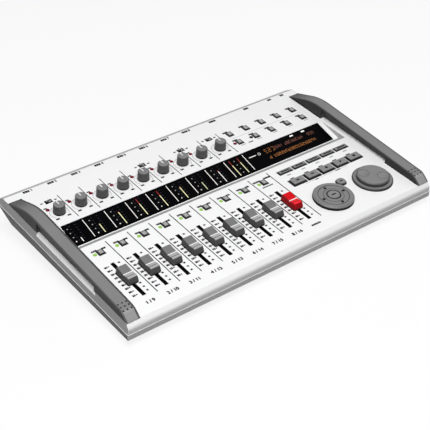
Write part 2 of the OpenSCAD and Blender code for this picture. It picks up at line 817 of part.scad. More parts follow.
module bottom_case() {
    color("gray") difference() {
        union() {
            difference() {
                union() {
                    on_deck() skirt_form(0);
                    intersection() {
                        belly_form(0, belly_y1);
                        under_rim();
                    }
                }
                on_deck() translate([0, 0, past / 100]) skirt_form(wall);
                belly_form(wall, 2 * belly_y1);
            }
            intersection() {
                battery_block();
                belly_form(0, belly_y1);
            }
            on_deck() for (p = screws_at)
                translate([p[0], p[1], skirt_floor(p[1]) + wall / 2])
                    cylinder(d = screw_boss_d + wall / 2, h = screw_seat_h + wall / 2);
        }
        battery_space();
        on_deck() for (p = screws_at) {
            translate([p[0], p[1], skirt_floor(p[1]) - past])
                cylinder(d = screw_d + 2 * seat_gap, h = wall + screw_seat_h + 2 * past);
            translate([p[0], p[1], skirt_floor(p[1]) - past])
                cylinder(d = screw_head_d + 2 * seat_gap, h = screw_head_h + wall / 2 + past);
        }
        for (p = feet_at)
            translate([p[0], p[1], belly_z - past])
                cylinder(d = foot_d + 2 * seat_gap, h = foot_sink + past);
    }
}

module rubber_feet() {
    edge = 1;
    color("black") for (p = feet_at)
        translate([p[0], p[1], 0]) rotate_extrude()
            polygon([[0, 0], [foot_d / 2 - edge, 0], [foot_d / 2, edge],
                [foot_d / 2, belly_z + foot_sink], [0, belly_z + foot_sink]]);
}

module case_screws() {
    color("silver") on_deck() for (p = screws_at)
        translate([p[0], p[1], skirt_floor(p[1]) + wall / 2]) {
            cylinder(d = screw_head_d, h = screw_head_h);
            cylinder(d = screw_d, h = screw_len);
        }
}

// Place children at each input jack, with +z pointing out of the panel
module at_jacks() {
    for (i = [0 : jacks - 1])
        translate([jack_x(i), panel_y, jack_z]) rotate([-90, 0, 0]) children();
}

module at_phones() {
    for (i = [0 : phone_count - 1])
        translate([phone_x(i), panel_y, jack_z]) rotate([-90, 0, 0]) children();
}

module panel_outline() {
    side = belly_x - wall - seat_gap;
    low = side - belly_chamfer_w - seat_gap;
    knee = belly_z + belly_chamfer_h + seat_gap;
    polygon([[-side, panel_top], [-side, knee], [-low, panel_bottom], [low, panel_bottom],
        [side, knee], [side, panel_top]]);
}

module rear_panel() {
    color("darkgray") difference() {
        sweep_back(panel_y - panel_t, panel_y) panel_outline();
        at_jacks() translate([0, 0, -panel_t - past])
            cylinder(d = jack_d + 2 * seat_gap, h = panel_t + 2 * past);
        at_phones() translate([0, 0, -panel_t - past])
            cylinder(d = bush_d + 2 * seat_gap, h = panel_t + 2 * past);
        translate([inlet_at, panel_y, jack_z]) rotate([90, 0, 0]) translate([0, 0, -past])
            cylinder(d = inlet_d + 2, h = panel_t + 2 * past);
        translate([power_at, panel_y, jack_z])
            cube([power_slot[0], 4 * panel_t, power_slot[1]], center = true);
    }
}

module combo_jacks() {
    color("black") at_jacks() difference() {
        union() {
            rise(0, flange_face_t) rounded_rect([jack_flange, jack_flange], 3);
            translate([0, 0, -jack_depth]) cylinder(d = jack_d, h = jack_depth);
        }
        translate([0, 0, flange_face_t - plug_depth]) cylinder(d = plug_d, h = plug_depth + past);
        translate([0, 0, flange_face_t - jack_ring_t]) difference() {
            cylinder(d = jack_d - 2, h = jack_ring_t + past);
            cylinder(d = plug_d + 3, h = jack_ring_t + past);
        }
        for (a = [90, 210, 330])
            rotate(a) translate([xlr_ring_r, 0, flange_face_t - xlr_depth])
                cylinder(d = xlr_hole_d, h = xlr_depth + past);
    }
}

module phone_jack() {
    difference() {
        union() {
            rise(-panel_t - phone_body[1], -panel_t)
                square([phone_body[0], phone_body[2]], center = true);
            translate([0, 0, -panel_t]) cylinder(d = bush_d, h = panel_t + bush_out);
            cylinder(d = nut_w / cos(30), h = nut_t, $fn = 6);
        }
        translate([0, 0, bush_out - plug_depth]) cylinder(d = plug_d, h = plug_depth + past);
    }
}

module rear_sockets() {
    color("dimgray") {
        at_phones() phone_jack();
        translate([inlet_at, panel_y - panel_t, jack_z]) rotate([-90, 0, 0]) {
            difference() {
                union() {
                    rise(-inlet_body[1], 0) square([inlet_body[0], inlet_body[2]], center = true);
                    cylinder(d = inlet_d + 1.6, h = panel_t);
                }
                translate([0, 0, panel_t - inlet_depth]) cylinder(d = inlet_d, h = inlet_depth + past);
            }
            translate([0, 0, -inlet_depth]) cylinder(d = inlet_pin_d, h = inlet_depth);
        }
        difference() {
            translate([power_at, panel_y - panel_t - power_body[1] / 2, jack_z])
                cube([power_body[0], power_body[1], power_body[2]], center = true);
            translate([power_at, panel_y - panel_t, jack_z])
                cube([power_slot[0], power_body[1], power_slot[1]], center = true);
        }
    }
}

module power_switch() {
    rest = -power_travel / 2;
    reach = panel_t + power_body[1] / 2 - gap;
    color("black") translate([power_at + rest, panel_y + (power_out - reach) / 2, jack_z])
        difference() {
            cube([power_lever[0], reach + power_out, power_lever[1]], center = true);
            for (i = [-1 : 1])
                translate([i * power_lever[0] / 4, (reach + power_out) / 2, 0])
                    cube([0.4, 0.8, 2 * power_lever[1]], center = true);
        }
}

module side_ports() {
    color("silver") on_deck() for (p = ports)
        intersection() {
            translate([case_x - port_depth / 2, p[0], port_z(p)]) difference() {
                cube([port_depth, p[1], p[2]], center = true);
                translate([port_shell, 0, 0])
                    cube([port_depth, p[1] - 2 * port_shell, p[2] - 2 * port_shell], center = true);
            }
            cover_form();
        }
}

// One of the two pins on which the cursor pad rocks in the grooves of the board's post
module pad_pin(side, diameter, spare) {
    inner = pad_bore / 2 + gap - spare;
    translate([enter_at[0], pad_y, pad_floor]) rotate([0, 90 * side, 0])
        translate([0, 0, inner]) cylinder(d = diameter, h = hub_d / 2 - inner + spare);
}

// Front and rear control boards with their soldered switches
module tact_switches(places) {
    for (p = places)
        translate(p) square(tact_side, center = true);
}

module control_boards() {
    color("darkgreen") on_deck() difference() {
        union() {
            rise(board_w - board_t, board_w) {
                translate([-board_half_w, front_board[0]])
                    square([2 * board_half_w, front_board[1] - front_board[0]]);
                translate([-board_half_w, rear_board[0]])
                    square([2 * board_half_w, rear_board[1] - rear_board[0]]);
            }
            rise(board_w - board_t / 2, tact_top)
                tact_switches(concat(channel_keys_at, transport_keys_at, soft_keys_at,
                    function_rear_at, function_front_at, [round_key_at, enter_at]));
            rise(board_w - board_t / 2, -deck_t - seat_gap)
                for (p = switches_at)
                    translate(p) square(switch_body, center = true);
            rise(board_w - board_t / 2, pad_post_top) translate(enter_at) difference() {
                circle(d = hub_d);
                circle(d = pad_bore);
            }
            for (p = ports)
                translate([board_half_w - past, p[0] - p[1] / 2, board_w - board_t])
                    cube([case_x - port_depth / 2 - board_half_w, p[1], board_t]);
        }
        rise(switch_floor, 0)
            for (p = switches_at)
                translate(p) square(switch_slot, center = true);
        for (side = [-1, 1])
            pad_pin(side, pad_pin_d + 2 * shaft_gap, past);
    }
}

module slide_pots() {
    color("silver") on_deck() for (i = [0 : strips - 1])
        translate([strip_x(i), slot_mid, 0]) difference() {
            rise(board_w, pot_top) square([pot_w, pot_len], center = true);
            rise(groove_floor, 0) square([slot_w, slot_len], center = true);
        }
}

// Potentiometer or encoder body with a bush that carries a turning shaft
module shaft_body(side, bush_radius, bush_top, shaft_diameter) {
    difference() {
        union() {
            rise(board_w, pot_body_top) square(side, center = true);
            translate([0, 0, pot_body_top - past])
                cylinder(r = bush_radius, h = bush_top - pot_body_top + past);
        }
        translate([0, 0, shaft_floor - gap])
            cylinder(d = shaft_diameter + 2 * shaft_gap, h = bush_top - shaft_floor + gap + past);
    }
}

bush_top = knob_foot - gap;
dial_bush_top = dial_lift - gap;

module rotary_pots() {
    color("silver") on_deck() {
        for (i = [0 : strips - 1])
            translate([strip_x(i), knob_y, 0]) shaft_body(pot_side, bush_r, bush_top, knob_shaft_d);
        translate(dial_at) shaft_body(encoder_side, encoder_bush_d / 2, dial_bush_top, dial_shaft_d);
    }
}

module indicator_lamps() {
    color("crimson") on_deck() for (p = lamps_at)
        translate([p[0], p[1], board_w]) cylinder(d = lamp_d, h = lamp_h - board_w);
}

module battery_contacts() {
    z = belly_z + door_t + gap + bay_z / 2;
    boss_d = 6;
    boss_h = contact_room / 2;
    color("silver") for (side = [-1, 1], i = [0 : cell_rows - 1])
        translate([side * bay_x / 2, battery_y + 1 + cell_d * (i + 0.5), z])
            rotate([0, -90 * side, 0]) {
                rise(0, contact_t) square(contact_w, center = true);
                translate([0, 0, contact_t / 2]) cylinder(d = boss_d, h = boss_h);
            }
}

module battery_door() {
    ribs = 5;
    color("gray") difference() {
        union() {
            translate([-door_x, hinge_y, belly_z])
                cube([2 * door_x, door_len - door_t / 2, door_t]);
            translate([-door_x, hinge_y, hinge_z]) rotate([0, 90, 0])
                cylinder(d = door_t, h = 2 * door_x);
            translate([-door_x - hinge_pin_out, hinge_y, hinge_z]) rotate([0, 90, 0])
                cylinder(d = hinge_pin_d, h = 2 * (door_x + hinge_pin_out));
        }
        for (i = [1 : ribs])
            translate([-finger_d / 2, hinge_y + door_len - door_t - 3 * i, belly_z - past])
                cube([finger_d, 1, past + 0.5]);
    }
}

module knob(i) {
    pointer = [0.9, knob_top_d / 2, 0.5];
    edge = 0.5;
    color("dimgray") on_deck() translate([strip_x(i), knob_y, 0]) {
        difference() {
            rotate_extrude() polygon([[0, knob_foot], [knob_d / 2 - edge, knob_foot],
                [knob_d / 2, knob_foot + edge], [knob_top_d / 2 + edge / 4, knob_h - edge],
                [knob_top_d / 2 - edge, knob_h], [0, knob_h]]);
            translate([-pointer[0] / 2, 0, knob_h - pointer[2]]) cube(pointer);
        }
        translate([0, 0, shaft_floor]) cylinder(d = knob_shaft_d, h = knob_foot - shaft_floor + past);
    }
}

// Cap with a long finger slope behind its line and a low ridge before it
module cap_side_view() {
    end = cap_len / 2;
    ridge_h = (cap_h + cap_saddle_h) / 2;
    roll = 1.6;
    line = [1, 0.4];
    difference() {
        polygon([[-end, cap_foot], [-end + roll / 4, ridge_h - 2 * roll], [-end + roll, ridge_h - roll / 3],
            [-end / 2 - roll / 2, ridge_h], [-end / 2, ridge_h - roll / 3], [cap_line_y, cap_saddle_h],
            [end - roll, cap_h], [end - roll / 3, cap_h - roll / 2], [end, cap_foot]]);
        translate([cap_line_y, cap_saddle_h]) square([line[0], 2 * line[1]], center = true);
    }
}

module fader(i) {
    shade = i == strips - 1 ? "red" : "dimgray";
    color(shade) on_deck() translate([strip_x(i), cap_y, 0]) {
        intersection() {
            sweep_across(-cap_w / 2, cap_w / 2) cap_side_view();
            sweep_back(-cap_len / 2, cap_len / 2)
                polygon([[-cap_w / 2, cap_foot], [-cap_top_w / 2, cap_h],
                    [cap_top_w / 2, cap_h], [cap_w / 2, cap_foot]]);
        }
        rise(stem_floor, cap_foot + past) square([stem_w, stem_len], center = true);
    }
}

// Key with chamfered edges, a retaining flange under the deck and a plunger
module key(size, height) {
    low = flange_top;
    intersection() {
        sweep_across(-size[0] / 2, size[0] / 2)
            polygon([[-size[1] / 2, low], [-size[1] / 2, height - key_chamfer],
                [-size[1] / 2 + key_chamfer, height], [size[1] / 2 - key_chamfer, height],
                [size[1] / 2, height - key_chamfer], [size[1] / 2, low]]);
        sweep_back(-size[1] / 2, size[1] / 2)
            polygon([[-size[0] / 2, low], [-size[0] / 2, height - key_chamfer],
                [-size[0] / 2 + key_chamfer, height], [size[0] / 2 - key_chamfer, height],
                [size[0] / 2, height - key_chamfer], [size[0] / 2, low]]);
    }
    rise(flange_top - flange_t, flange_top)
        square(size + 2 * [flange + gap, flange + gap], center = true);
    rise(plunger_floor, flange_top - flange_t / 2) square(plunger, center = true);
}

// A row of equal keys
module key_row(places, size, height) {
    for (p = places)
        translate(p) key(size, height);
}

module channel_key(i) {
    color("darkgray") on_deck() translate(channel_keys_at[i]) key(small_key, key_h);
}

module transport_key(i) {
    color("darkgray") on_deck() translate(transport_keys_at[i]) key(transport_key, transport_h);
}

module function_keys_rear() {
    color("darkgray") on_deck() key_row(function_rear_at, small_key, key_h);
}

module function_keys_front() {
    color("darkgray") on_deck() key_row(function_front_at, small_key, key_h);
}

module soft_keys() {
    color("darkgray") on_deck() key_row(soft_keys_at, soft_key, key_h);
}

// Round key with a flange and plunger, from the top height down
module round_button(diameter, height, crown) {
    rotate_extrude() polygon([[0, flange_top], [diameter / 2, flange_top],
        [diameter / 2, height - crown], [diameter / 2 - crown, height], [0, height]]);
    rise(plunger_floor, flange_top + past) square(plunger, center = true);
}

module round_key() {
    color("darkgray") on_deck() translate(round_key_at) {
        round_button(round_key_d, transport_h, key_chamfer);
        translate([0, 0, flange_top - flange_t])
            cylinder(r = round_key_d / 2 + gap + flange, h = flange_t);
    }
}

module enter_key() {
    color("darkgray") on_deck() translate(enter_at) round_button(enter_d, enter_h, key_chamfer);
}

// Pad with a dished ring, four pips and a hub that rocks on two pins
module cursor_pad() {
    edge = 1;
    dish = 0.6;
    pip_r = 13;
    pip_d = 1.6;
    color("darkgray") on_deck() translate(enter_at) {
        rotate_extrude() polygon([[pad_bore / 2, pad_floor], [hub_d / 2, pad_floor], [hub_d / 2, pad_lift],
            [pad_d / 2 - edge, pad_lift], [pad_d / 2, pad_lift + edge], [pad_d / 2, pad_h - 1.4],
            [pad_d / 2 - 2, pad_h], [pad_d / 2 - 4, pad_h], [pad_d / 2 - 5, pad_h - dish],
            [hub_d / 2 + 1, pad_h - dish], [hub_d / 2, pad_h], [pad_bore / 2, pad_h]]);
        for (a = [0 : 90 : 270])
            rotate(a) translate([pip_r, 0, pad_h - 2 * dish]) cylinder(d = pip_d, h = 1.5 * dish);
    }
    color("darkgray") on_deck() for (side = [-1, 1])
        pad_pin(side, pad_pin_d, 0);
}

module jog_dial() {
    edge = 1;
    dimple_ball = (dimple_d * dimple_d / 4 + dimple_depth * dimple_depth) / (2 * dimple_depth);
    color("darkgray") on_deck() translate(dial_at) {
        difference() {
            rotate_extrude() polygon([[0, dial_lift], [dial_d / 2 - edge / 2, dial_lift],
                [dial_d / 2, dial_lift + edge / 2], [dial_d / 2 - edge, dial_flange_h],
                [dial_top_d / 2, dial_flange_h], [dial_top_d / 2, dial_h - edge],
                [dial_top_d / 2 - edge, dial_h], [0, dial_h]]);
            for (a = [-45, 135])
                rotate(a + 180) translate([dimple_r, 0, dial_h - dimple_depth + dimple_ball])
                    sphere(dimple_ball, $fn = 64);
        }
        translate([0, 0, shaft_floor]) cylinder(d = dial_shaft_d, h = dial_lift - shaft_floor + past);
    }
}

module slide_switches() {
    rest = -(switch_slot[0] - switch_lever[0]) / 2 + gap;
    color("black") on_deck() for (p = switches_at)
        translate([p[0] + rest, p[1], 0])
            rise(switch_floor + gap, switch_h) square(switch_lever, center = true);
}

top_cover();
bottom_case();
rear_panel();
left_rail();
right_rail();
display_window();
display_module();
control_boards();
slide_pots();
rotary_pots();
combo_jacks();
rear_sockets();
side_ports();
mic_capsules();
indicator_lamps();
battery_contacts();
rubber_feet();
case_screws();
for (i = [0 : strips - 1]) {
    knob(i);
    fader(i);
    channel_key(i);
}
for (i = [0 : key_count - 1])
    transport_key(i);
function_keys_rear();
function_keys_front();
soft_keys();
round_key();
cursor_pad();
enter_key();
jog_dial();
slide_switches();
power_switch();
battery_door();
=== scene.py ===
import bmesh
import bpy
import json
import math
import random
from mathutils import Matrix, Vector


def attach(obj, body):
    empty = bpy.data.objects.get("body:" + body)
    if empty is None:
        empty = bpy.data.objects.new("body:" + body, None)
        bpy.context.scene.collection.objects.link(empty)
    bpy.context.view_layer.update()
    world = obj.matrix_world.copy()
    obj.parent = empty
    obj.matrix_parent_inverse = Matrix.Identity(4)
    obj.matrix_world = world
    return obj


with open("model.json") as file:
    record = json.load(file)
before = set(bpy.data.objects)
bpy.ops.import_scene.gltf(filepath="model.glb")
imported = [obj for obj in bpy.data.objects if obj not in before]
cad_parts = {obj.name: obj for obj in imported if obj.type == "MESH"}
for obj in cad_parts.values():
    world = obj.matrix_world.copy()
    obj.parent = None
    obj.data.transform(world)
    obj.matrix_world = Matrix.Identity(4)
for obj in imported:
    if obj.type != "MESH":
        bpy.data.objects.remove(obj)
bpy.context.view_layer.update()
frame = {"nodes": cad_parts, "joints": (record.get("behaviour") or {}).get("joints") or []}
nodes = frame["nodes"]
joints = {joint["name"]: joint for joint in frame["joints"]}
mm = 0.001
print("frame loaded:", len(nodes), "nodes")

# The deck's own frame, worked out from the joints: x right, y up the slope, z off the deck
deckPlan = {"knobRow": 61.2, "stripCount": 9, "bayRear": 42.5, "bayLow": 14.0, "bayDepth": 6.4}
knobSpots = [Vector(joints[f"knob_{i + 1}_turn"]["pos_m"]) for i in range(deckPlan["stripCount"])]
deckNormal = Vector(joints["knob_1_turn"]["axis"]).normalized()
deckAlong = Vector(joints["fader_1_slide"]["axis"]).normalized()
deckOrigin = knobSpots[0] - deckAlong * deckPlan["knobRow"] * mm
deckOrigin.x = 0.0
deckFrame = Matrix((Vector((1, 0, 0)), deckAlong, deckNormal)).transposed().to_4x4()
deckFrame.translation = deckOrigin
deckInverse = deckFrame.inverted()
# the display lies in a bay that dips towards the front
bayTilt = math.atan(deckPlan["bayDepth"] / (deckPlan["bayRear"] - deckPlan["bayLow"]))
bayFrame = deckFrame @ Matrix.Translation((0, deckPlan["bayRear"] * mm, 0)) @ Matrix.Rotation(bayTilt, 4, "X")
columns = [spot.x / mm for spot in knobSpots]
pitch = columns[1] - columns[0]
lastStrip = deckPlan["stripCount"] - 1  # the master's


# Where a node stands on the deck, in mm. Round nodes are many-sided, which the rounding evens out
def deckSpot(name):
    spots = [deckInverse @ vert.co / mm for vert in nodes[name].data.vertices]
    across, along, off = ([spot[k] for spot in spots] for k in range(3))
    return {"x": round((min(across) + max(across)) / 2, 2), "y": round((min(along) + max(along)) / 2, 2),
            "top": round(max(off), 2)}


# Rows and columns of the keys
keyPlan = {"count": 5, "functionPitch": 22.0}
functionFirst = deckSpot("function_keys_rear")["x"] - keyPlan["functionPitch"] * (keyPlan["count"] - 1) / 2
functionColumns = [functionFirst + keyPlan["functionPitch"] * i for i in range(keyPlan["count"])]
functionRear = deckSpot("function_keys_rear")["y"]
functionFront = deckSpot("function_keys_front")["y"]
softColumns = [deckSpot(f"transport_key_{i + 1}")["x"] for i in range(keyPlan["count"])]
softRow = deckSpot("soft_keys")["y"]
transportRow = deckSpot("transport_key_1")["y"]
channelRow = deckSpot("channel_key_1")["y"]
print("places on the deck worked out")


def nodeLink(tree, source, outName, target, inName):
    tree.links.new(source.outputs[outName], target.inputs[inName])


def shade(colour, factor=1.0):
    return [min(1.0, c * factor) for c in colour] + [1.0]


# Rules of painted light and shade in a finish: the axis looked at, where the change starts and ends, and the
# tone it ends with
def byFacing(axis, start, end, tone):
    return "Normal", axis, start, end, tone


def byPlace(axis, start, end, tone):
    return "Object", axis, start * mm, end * mm, tone


# Painted shade: side walls of small pieces are painted darker than their tops
def paintedWallShade(tone):
    return (byFacing("Z", 0.92, 0.4, tone),)


# Paints the light and shade of one rule into the colour
def applyPaintedLightAndShade(tree, place, toned, rule):
    source, axis, start, end, tone = rule
    split = tree.nodes.new("ShaderNodeSeparateXYZ")
    nodeLink(tree, place, source, split, "Vector")
    measure = split.outputs[axis]
    if axis == "X":  # left and right are alike
        unsigned = tree.nodes.new("ShaderNodeMath")
        unsigned.operation = "ABSOLUTE"
        tree.links.new(measure, unsigned.inputs[0])
        measure = unsigned.outputs["Value"]
    change = tree.nodes.new("ShaderNodeMapRange")
    change.interpolation_type = "SMOOTHSTEP"
    change.inputs["From Min"].default_value = start
    change.inputs["From Max"].default_value = end
    change.inputs["To Min"].default_value = 1.0
    change.inputs["To Max"].default_value = tone
    tree.links.new(measure, change.inputs["Value"])
    scaled = tree.nodes.new("ShaderNodeVectorMath")
    scaled.operation = "SCALE"
    tree.links.new(toned, scaled.inputs[0])
    nodeLink(tree, change, "Result", scaled, "Scale")
    return scaled.outputs["Vector"]


def addNoise(tree, place, scale, detail):
    noise = tree.nodes.new("ShaderNodeTexNoise")
    noise.inputs["Scale"].default_value = scale
    noise.inputs["Detail"].default_value = detail
    nodeLink(tree, place, "Object", noise, "Vector")
    return noise


# Patterns that all finishes share
patternPlan = {"mottleScale": 45.0, "mottleDetail": 3.0, "polishScale": 320.0, "polishDetail": 2.0,
               "polishSpread": 0.07, "polishLeast": 0.02, "grainDetail": 2.0, "grainStrength": 0.6}


# Moulded plastic: a soft mottle, a roughness that wanders and a fine grain, with the painted light and shade
# of its rules
def mouldedFinish(name, colour, roughness, grain, depth, mottle=0.03, specular=0.5, rules=()):
    material = bpy.data.materials.new(name)
    material.use_nodes = True
    tree = material.node_tree
    surface = tree.nodes["Principled BSDF"]
    surface.inputs["Specular IOR Level"].default_value = specular
    place = tree.nodes.new("ShaderNodeTexCoord")
    cloud = addNoise(tree, place, patternPlan["mottleScale"], patternPlan["mottleDetail"])
    tint = tree.nodes.new("ShaderNodeMix")
    tint.data_type = "RGBA"
    tint.inputs["A"].default_value = shade(colour, 1.0 - mottle)
    tint.inputs["B"].default_value = shade(colour, 1.0 + mottle)
    nodeLink(tree, cloud, "Fac", tint, "Factor")
    toned = tint.outputs["Result"]
    for rule in rules:
        toned = applyPaintedLightAndShade(tree, place, toned, rule)
    tree.links.new(toned, surface.inputs["Base Color"])
    polish = addNoise(tree, place, patternPlan["polishScale"], patternPlan["polishDetail"])
    spread = tree.nodes.new("ShaderNodeMapRange")
    wander = patternPlan["polishSpread"]
    spread.inputs["To Min"].default_value = max(patternPlan["polishLeast"], roughness - wander)
    spread.inputs["To Max"].default_value = min(1.0, roughness + wander)
    nodeLink(tree, polish, "Fac", spread, "Value")
    nodeLink(tree, spread, "Result", surface, "Roughness")
    grainNoise = addNoise(tree, place, 1.0 / (grain * mm), patternPlan["grainDetail"])
    bump = tree.nodes.new("ShaderNodeBump")
    bump.inputs["Strength"].default_value = patternPlan["grainStrength"]
    bump.inputs["Distance"].default_value = depth * mm
    nodeLink(tree, grainNoise, "Fac", bump, "Height")
    nodeLink(tree, bump, "Normal", surface, "Normal")
    return material


# Plated metal, with a fine and shallow grain
metalPlan = {"grain": 0.2, "depth": 0.006, "mottle": 0.05}


def platedFinish(name, colour, roughness):
    material = mouldedFinish(name, colour, roughness, **metalPlan)
    material.node_tree.nodes["Principled BSDF"].inputs["Metallic"].default_value = 1.0
    return material


# Lit marks: the colour shows by its own light, over a darker base that reflects next to nothing
glowPlan = {"base": 0.4, "looks": {"roughness": 0.3, "grain": 0.3, "depth": 0.005, "specular": 0.02}}


def glowFinish(name, colour, strength):
    material = mouldedFinish(name, [c * glowPlan["base"] for c in colour], **glowPlan["looks"])
    surface = material.node_tree.nodes["Principled BSDF"]
    surface.inputs["Emission Color"].default_value = shade(colour)
    surface.inputs["Emission Strength"].default_value = strength
    return material


# The lamps are one node: green beside the channel keys, red at the rear, and one that is dark
lampPlan = {"rearFrom": 0.0, "darkFrom": 75.0, "strength": 0.15, "green": (0.3, 0.52, 0.12),
            "red": (0.15, 0.003, 0.018), "dark": (0.01, 0.01, 0.01)}


def addLimit(tree, split, axis, limit):
    beyond = tree.nodes.new("ShaderNodeMath")
    beyond.operation = "GREATER_THAN"
    beyond.inputs[1].default_value = limit * mm
    nodeLink(tree, split, axis, beyond, 0)
    return beyond


def lampFinish(name):
    material = glowFinish(name, lampPlan["red"], lampPlan["strength"])
    tree = material.node_tree
    place = tree.nodes.new("ShaderNodeTexCoord")
    split = tree.nodes.new("ShaderNodeSeparateXYZ")
    nodeLink(tree, place, "Object", split, "Vector")
    rear = tree.nodes.new("ShaderNodeMix")
    rear.data_type = "RGBA"
    rear.inputs["A"].default_value = shade(lampPlan["red"])
    rear.inputs["B"].default_value = shade(lampPlan["dark"])
    nodeLink(tree, addLimit(tree, split, "X", lampPlan["darkFrom"]), "Value", rear, "Factor")
    hue = tree.nodes.new("ShaderNodeMix")
    hue.data_type = "RGBA"
    hue.inputs["A"].default_value = shade(lampPlan["green"])
    nodeLink(tree, addLimit(tree, split, "Y", lampPlan["rearFrom"]), "Value", hue, "Factor")
    nodeLink(tree, rear, "Result", hue, "B")
    for socket in ("Base Color", "Emission Color"):
        nodeLink(tree, hue, "Result", tree.nodes["Principled BSDF"], socket)
    return material


# Painted light and shade: faces made darker or lighter by the way they face and where they stand, tones that
# one soft light alone would not give
paintedLightAndShade = {
    "cover": (
        byFacing("Z", 0.5, 0.15, 0.93),  # painted shade on steep faces
        byFacing("X", 0.85, 0.98, 0.57),  # painted shade on the side bands
        byFacing("Y", 0.25, 0.45, 0.46),  # painted shade on the rear bevel
        byFacing("X", 0.1, 0.3, 1.12),  # painted light on the finger scoops, and on what faces further sideways
    ),
    "case": (
        byFacing("X", 0.85, 0.98, 0.16),  # painted shade on the sides
        byFacing("Z", 0.5, 0.9, 0.7),  # painted shade on ledges that face up
    ),
    "rail": (
        # painted shade on the rail's side walls
        *paintedWallShade(0.45),
        byFacing("Z", 0.0, -0.25, 0.35),  # painted shade on the undercut faces of the hand hold
        byPlace("Y", 50.0, 84.0, 0.34),  # painted shade towards the rear end
        byFacing("Y", -0.3, -0.55, 1.7),  # painted light on the slope at the front end
        byPlace("X", 173.5, 172.8, 0.2),  # painted shade along the inner edge
        byPlace("X", 183.6, 184.2, 0.3),  # painted shade along the outer edge
    ),
}
# colour, roughness, grain and its depth in mm, mottle, specular level, rules of painted light and shade
plasticLooks = {
    "coverWhite": ((0.88, 0.88, 0.885), 0.45, 0.3, 0.008, 0.012, 0.35, paintedLightAndShade["cover"]),
    "caseGrey": ((0.8, 0.8, 0.807), 0.5, 0.4, 0.05, 0.06, 0.35, paintedLightAndShade["case"]),
    "railGrey": ((0.195, 0.195, 0.198), 0.6, 0.5, 0.09, 0.08, 0.3, paintedLightAndShade["rail"]),
    "panelGrey": ((0.34, 0.34, 0.35), 0.5, 0.4, 0.03, 0.04),
    "windowBlack": ((0.0015, 0.0015, 0.002), 0.3, 2.0, 0.001, 0.1, 0.01),
    "boardGreen": ((0.03, 0.18, 0.08), 0.5, 0.6, 0.02, 0.2),
    "jackBlack": ((0.03, 0.03, 0.031), 0.42, 0.4, 0.03, 0.08),
    "rubber": ((0.022, 0.022, 0.022), 0.8, 0.5, 0.06, 0.1, 0.3),
    # The side walls of knobs, caps, keys and the dial get painted shade
    "knobGrey": ((0.18, 0.18, 0.183), 0.5, 0.35, 0.03, 0.05, 0.4, paintedWallShade(0.36)),
    "capGrey": ((0.152, 0.152, 0.154), 0.5, 0.4, 0.05, 0.06, 0.4, paintedWallShade(0.3)),
    # The pale grey and bright red cap colours are lighter copies, painted highlights on the ridges of the
    # caps
    "capHighlight": ((0.38, 0.38, 0.384), 0.5, 0.4, 0.04, 0.05, 0.4),
    "capRed": ((0.63, 0.002, 0.009), 0.5, 0.4, 0.03, 0.05, 0.12, paintedWallShade(0.5)),
    "capRedHighlight": ((0.82, 0.022, 0.033), 0.5, 0.4, 0.03, 0.05, 0.12),
    "keyGrey": ((0.215, 0.215, 0.218), 0.5, 0.4, 0.03, 0.05, 0.35, paintedWallShade(0.08)),
    "keyPale": ((0.37, 0.37, 0.373), 0.5, 0.4, 0.03, 0.05, 0.35, paintedWallShade(0.08)),
    "dialGrey": ((0.19, 0.19, 0.193), 0.5, 0.4, 0.05, 0.06, 0.35, paintedWallShade(0.12)),
    "switchBlack": ((0.03, 0.03, 0.03), 0.45, 0.4, 0.03, 0.08),
    "slotBlack": ((0.008, 0.008, 0.008), 0.7, 0.4, 0.03, 0.1, 0.1),
    # Dark grey for the painted shade on the pad and the dial
    "shadeGrey": ((0.05, 0.05, 0.051), 0.6, 0.3, 0.02, 0.08, 0.2),
    # Dark ink for print, also used for painted shade in gaps, in grooves, on rims and round the feet of the
    # caps
    "inkAndPaintedShade": ((0.012, 0.012, 0.012), 0.7, 0.3, 0.005, 0.1, 0.1),
    "inkPale": ((0.42, 0.42, 0.42), 0.6, 0.3, 0.005, 0.05, 0.3),
    "inkWhite": ((0.85, 0.85, 0.85), 0.5, 0.3, 0.005, 0.02),
}
metalLooks = {"steel": ((0.62, 0.62, 0.64), 0.32)}  # colour and roughness
# colour and strength
glowLooks = {
    "glowWhite": ((0.9, 0.9, 0.86), 0.75), "glowDim": ((0.5, 0.5, 0.5), 0.45),
    "glowFaint": ((0.07, 0.075, 0.09), 0.04), "glowYellow": ((0.85, 0.84, 0.5), 0.8),
    "glowRed": ((0.5, 0.06, 0.05), 0.27), "glowAmber": ((0.55, 0.22, 0.07), 0.32),
    "glowRose": ((0.34, 0.14, 0.11), 0.2), "glowPale": ((0.75, 0.8, 0.5), 0.6),
}
finishes = {name: mouldedFinish(name, *looks) for name, looks in plasticLooks.items()}
for name, looks in glowLooks.items():
    finishes[name] = glowFinish(name, *looks)
for name, looks in metalLooks.items():
    finishes[name] = platedFinish(name, *looks)
finishes["lampColours"] = lampFinish("lampColours")
print("finishes made:", len(finishes))

# The finish of each node: by its own name, or else by the first word of it, or else that of the keys
nodeFinish = {
    "top_cover": "coverWhite", "bottom_case": "caseGrey", "battery_door": "caseGrey",
    "rear_panel": "panelGrey", "left_rail": "railGrey", "right_rail": "railGrey", "rubber_feet": "rubber",
    "case_screws": "steel", "display_window": "windowBlack", "display_module": "boardGreen",
    "control_boards": "boardGreen", "slide_pots": "slotBlack", "rotary_pots": "steel",
    "combo_jacks": "jackBlack", "rear_sockets": "jackBlack", "side_ports": "steel",
    "mic_capsules": "slotBlack", "indicator_lamps": "lampColours", "battery_contacts": "steel",
    "cursor_pad": "dialGrey", "jog_dial": "dialGrey", "power_switch": "switchBlack", "fader_9": "capRed",
}
familyFinish = {"knob": "knobGrey", "fader": "capGrey", "channel": "keyPale", "function": "keyPale"}
roundedFamilies = ("fader", "channel", "transport", "function", "soft", "slide", "power", "rubber")
edgeRounding = {"angle": 35.0, "segments": 2, "weld": 0.002, "width": 0.18, "flatness": 50}


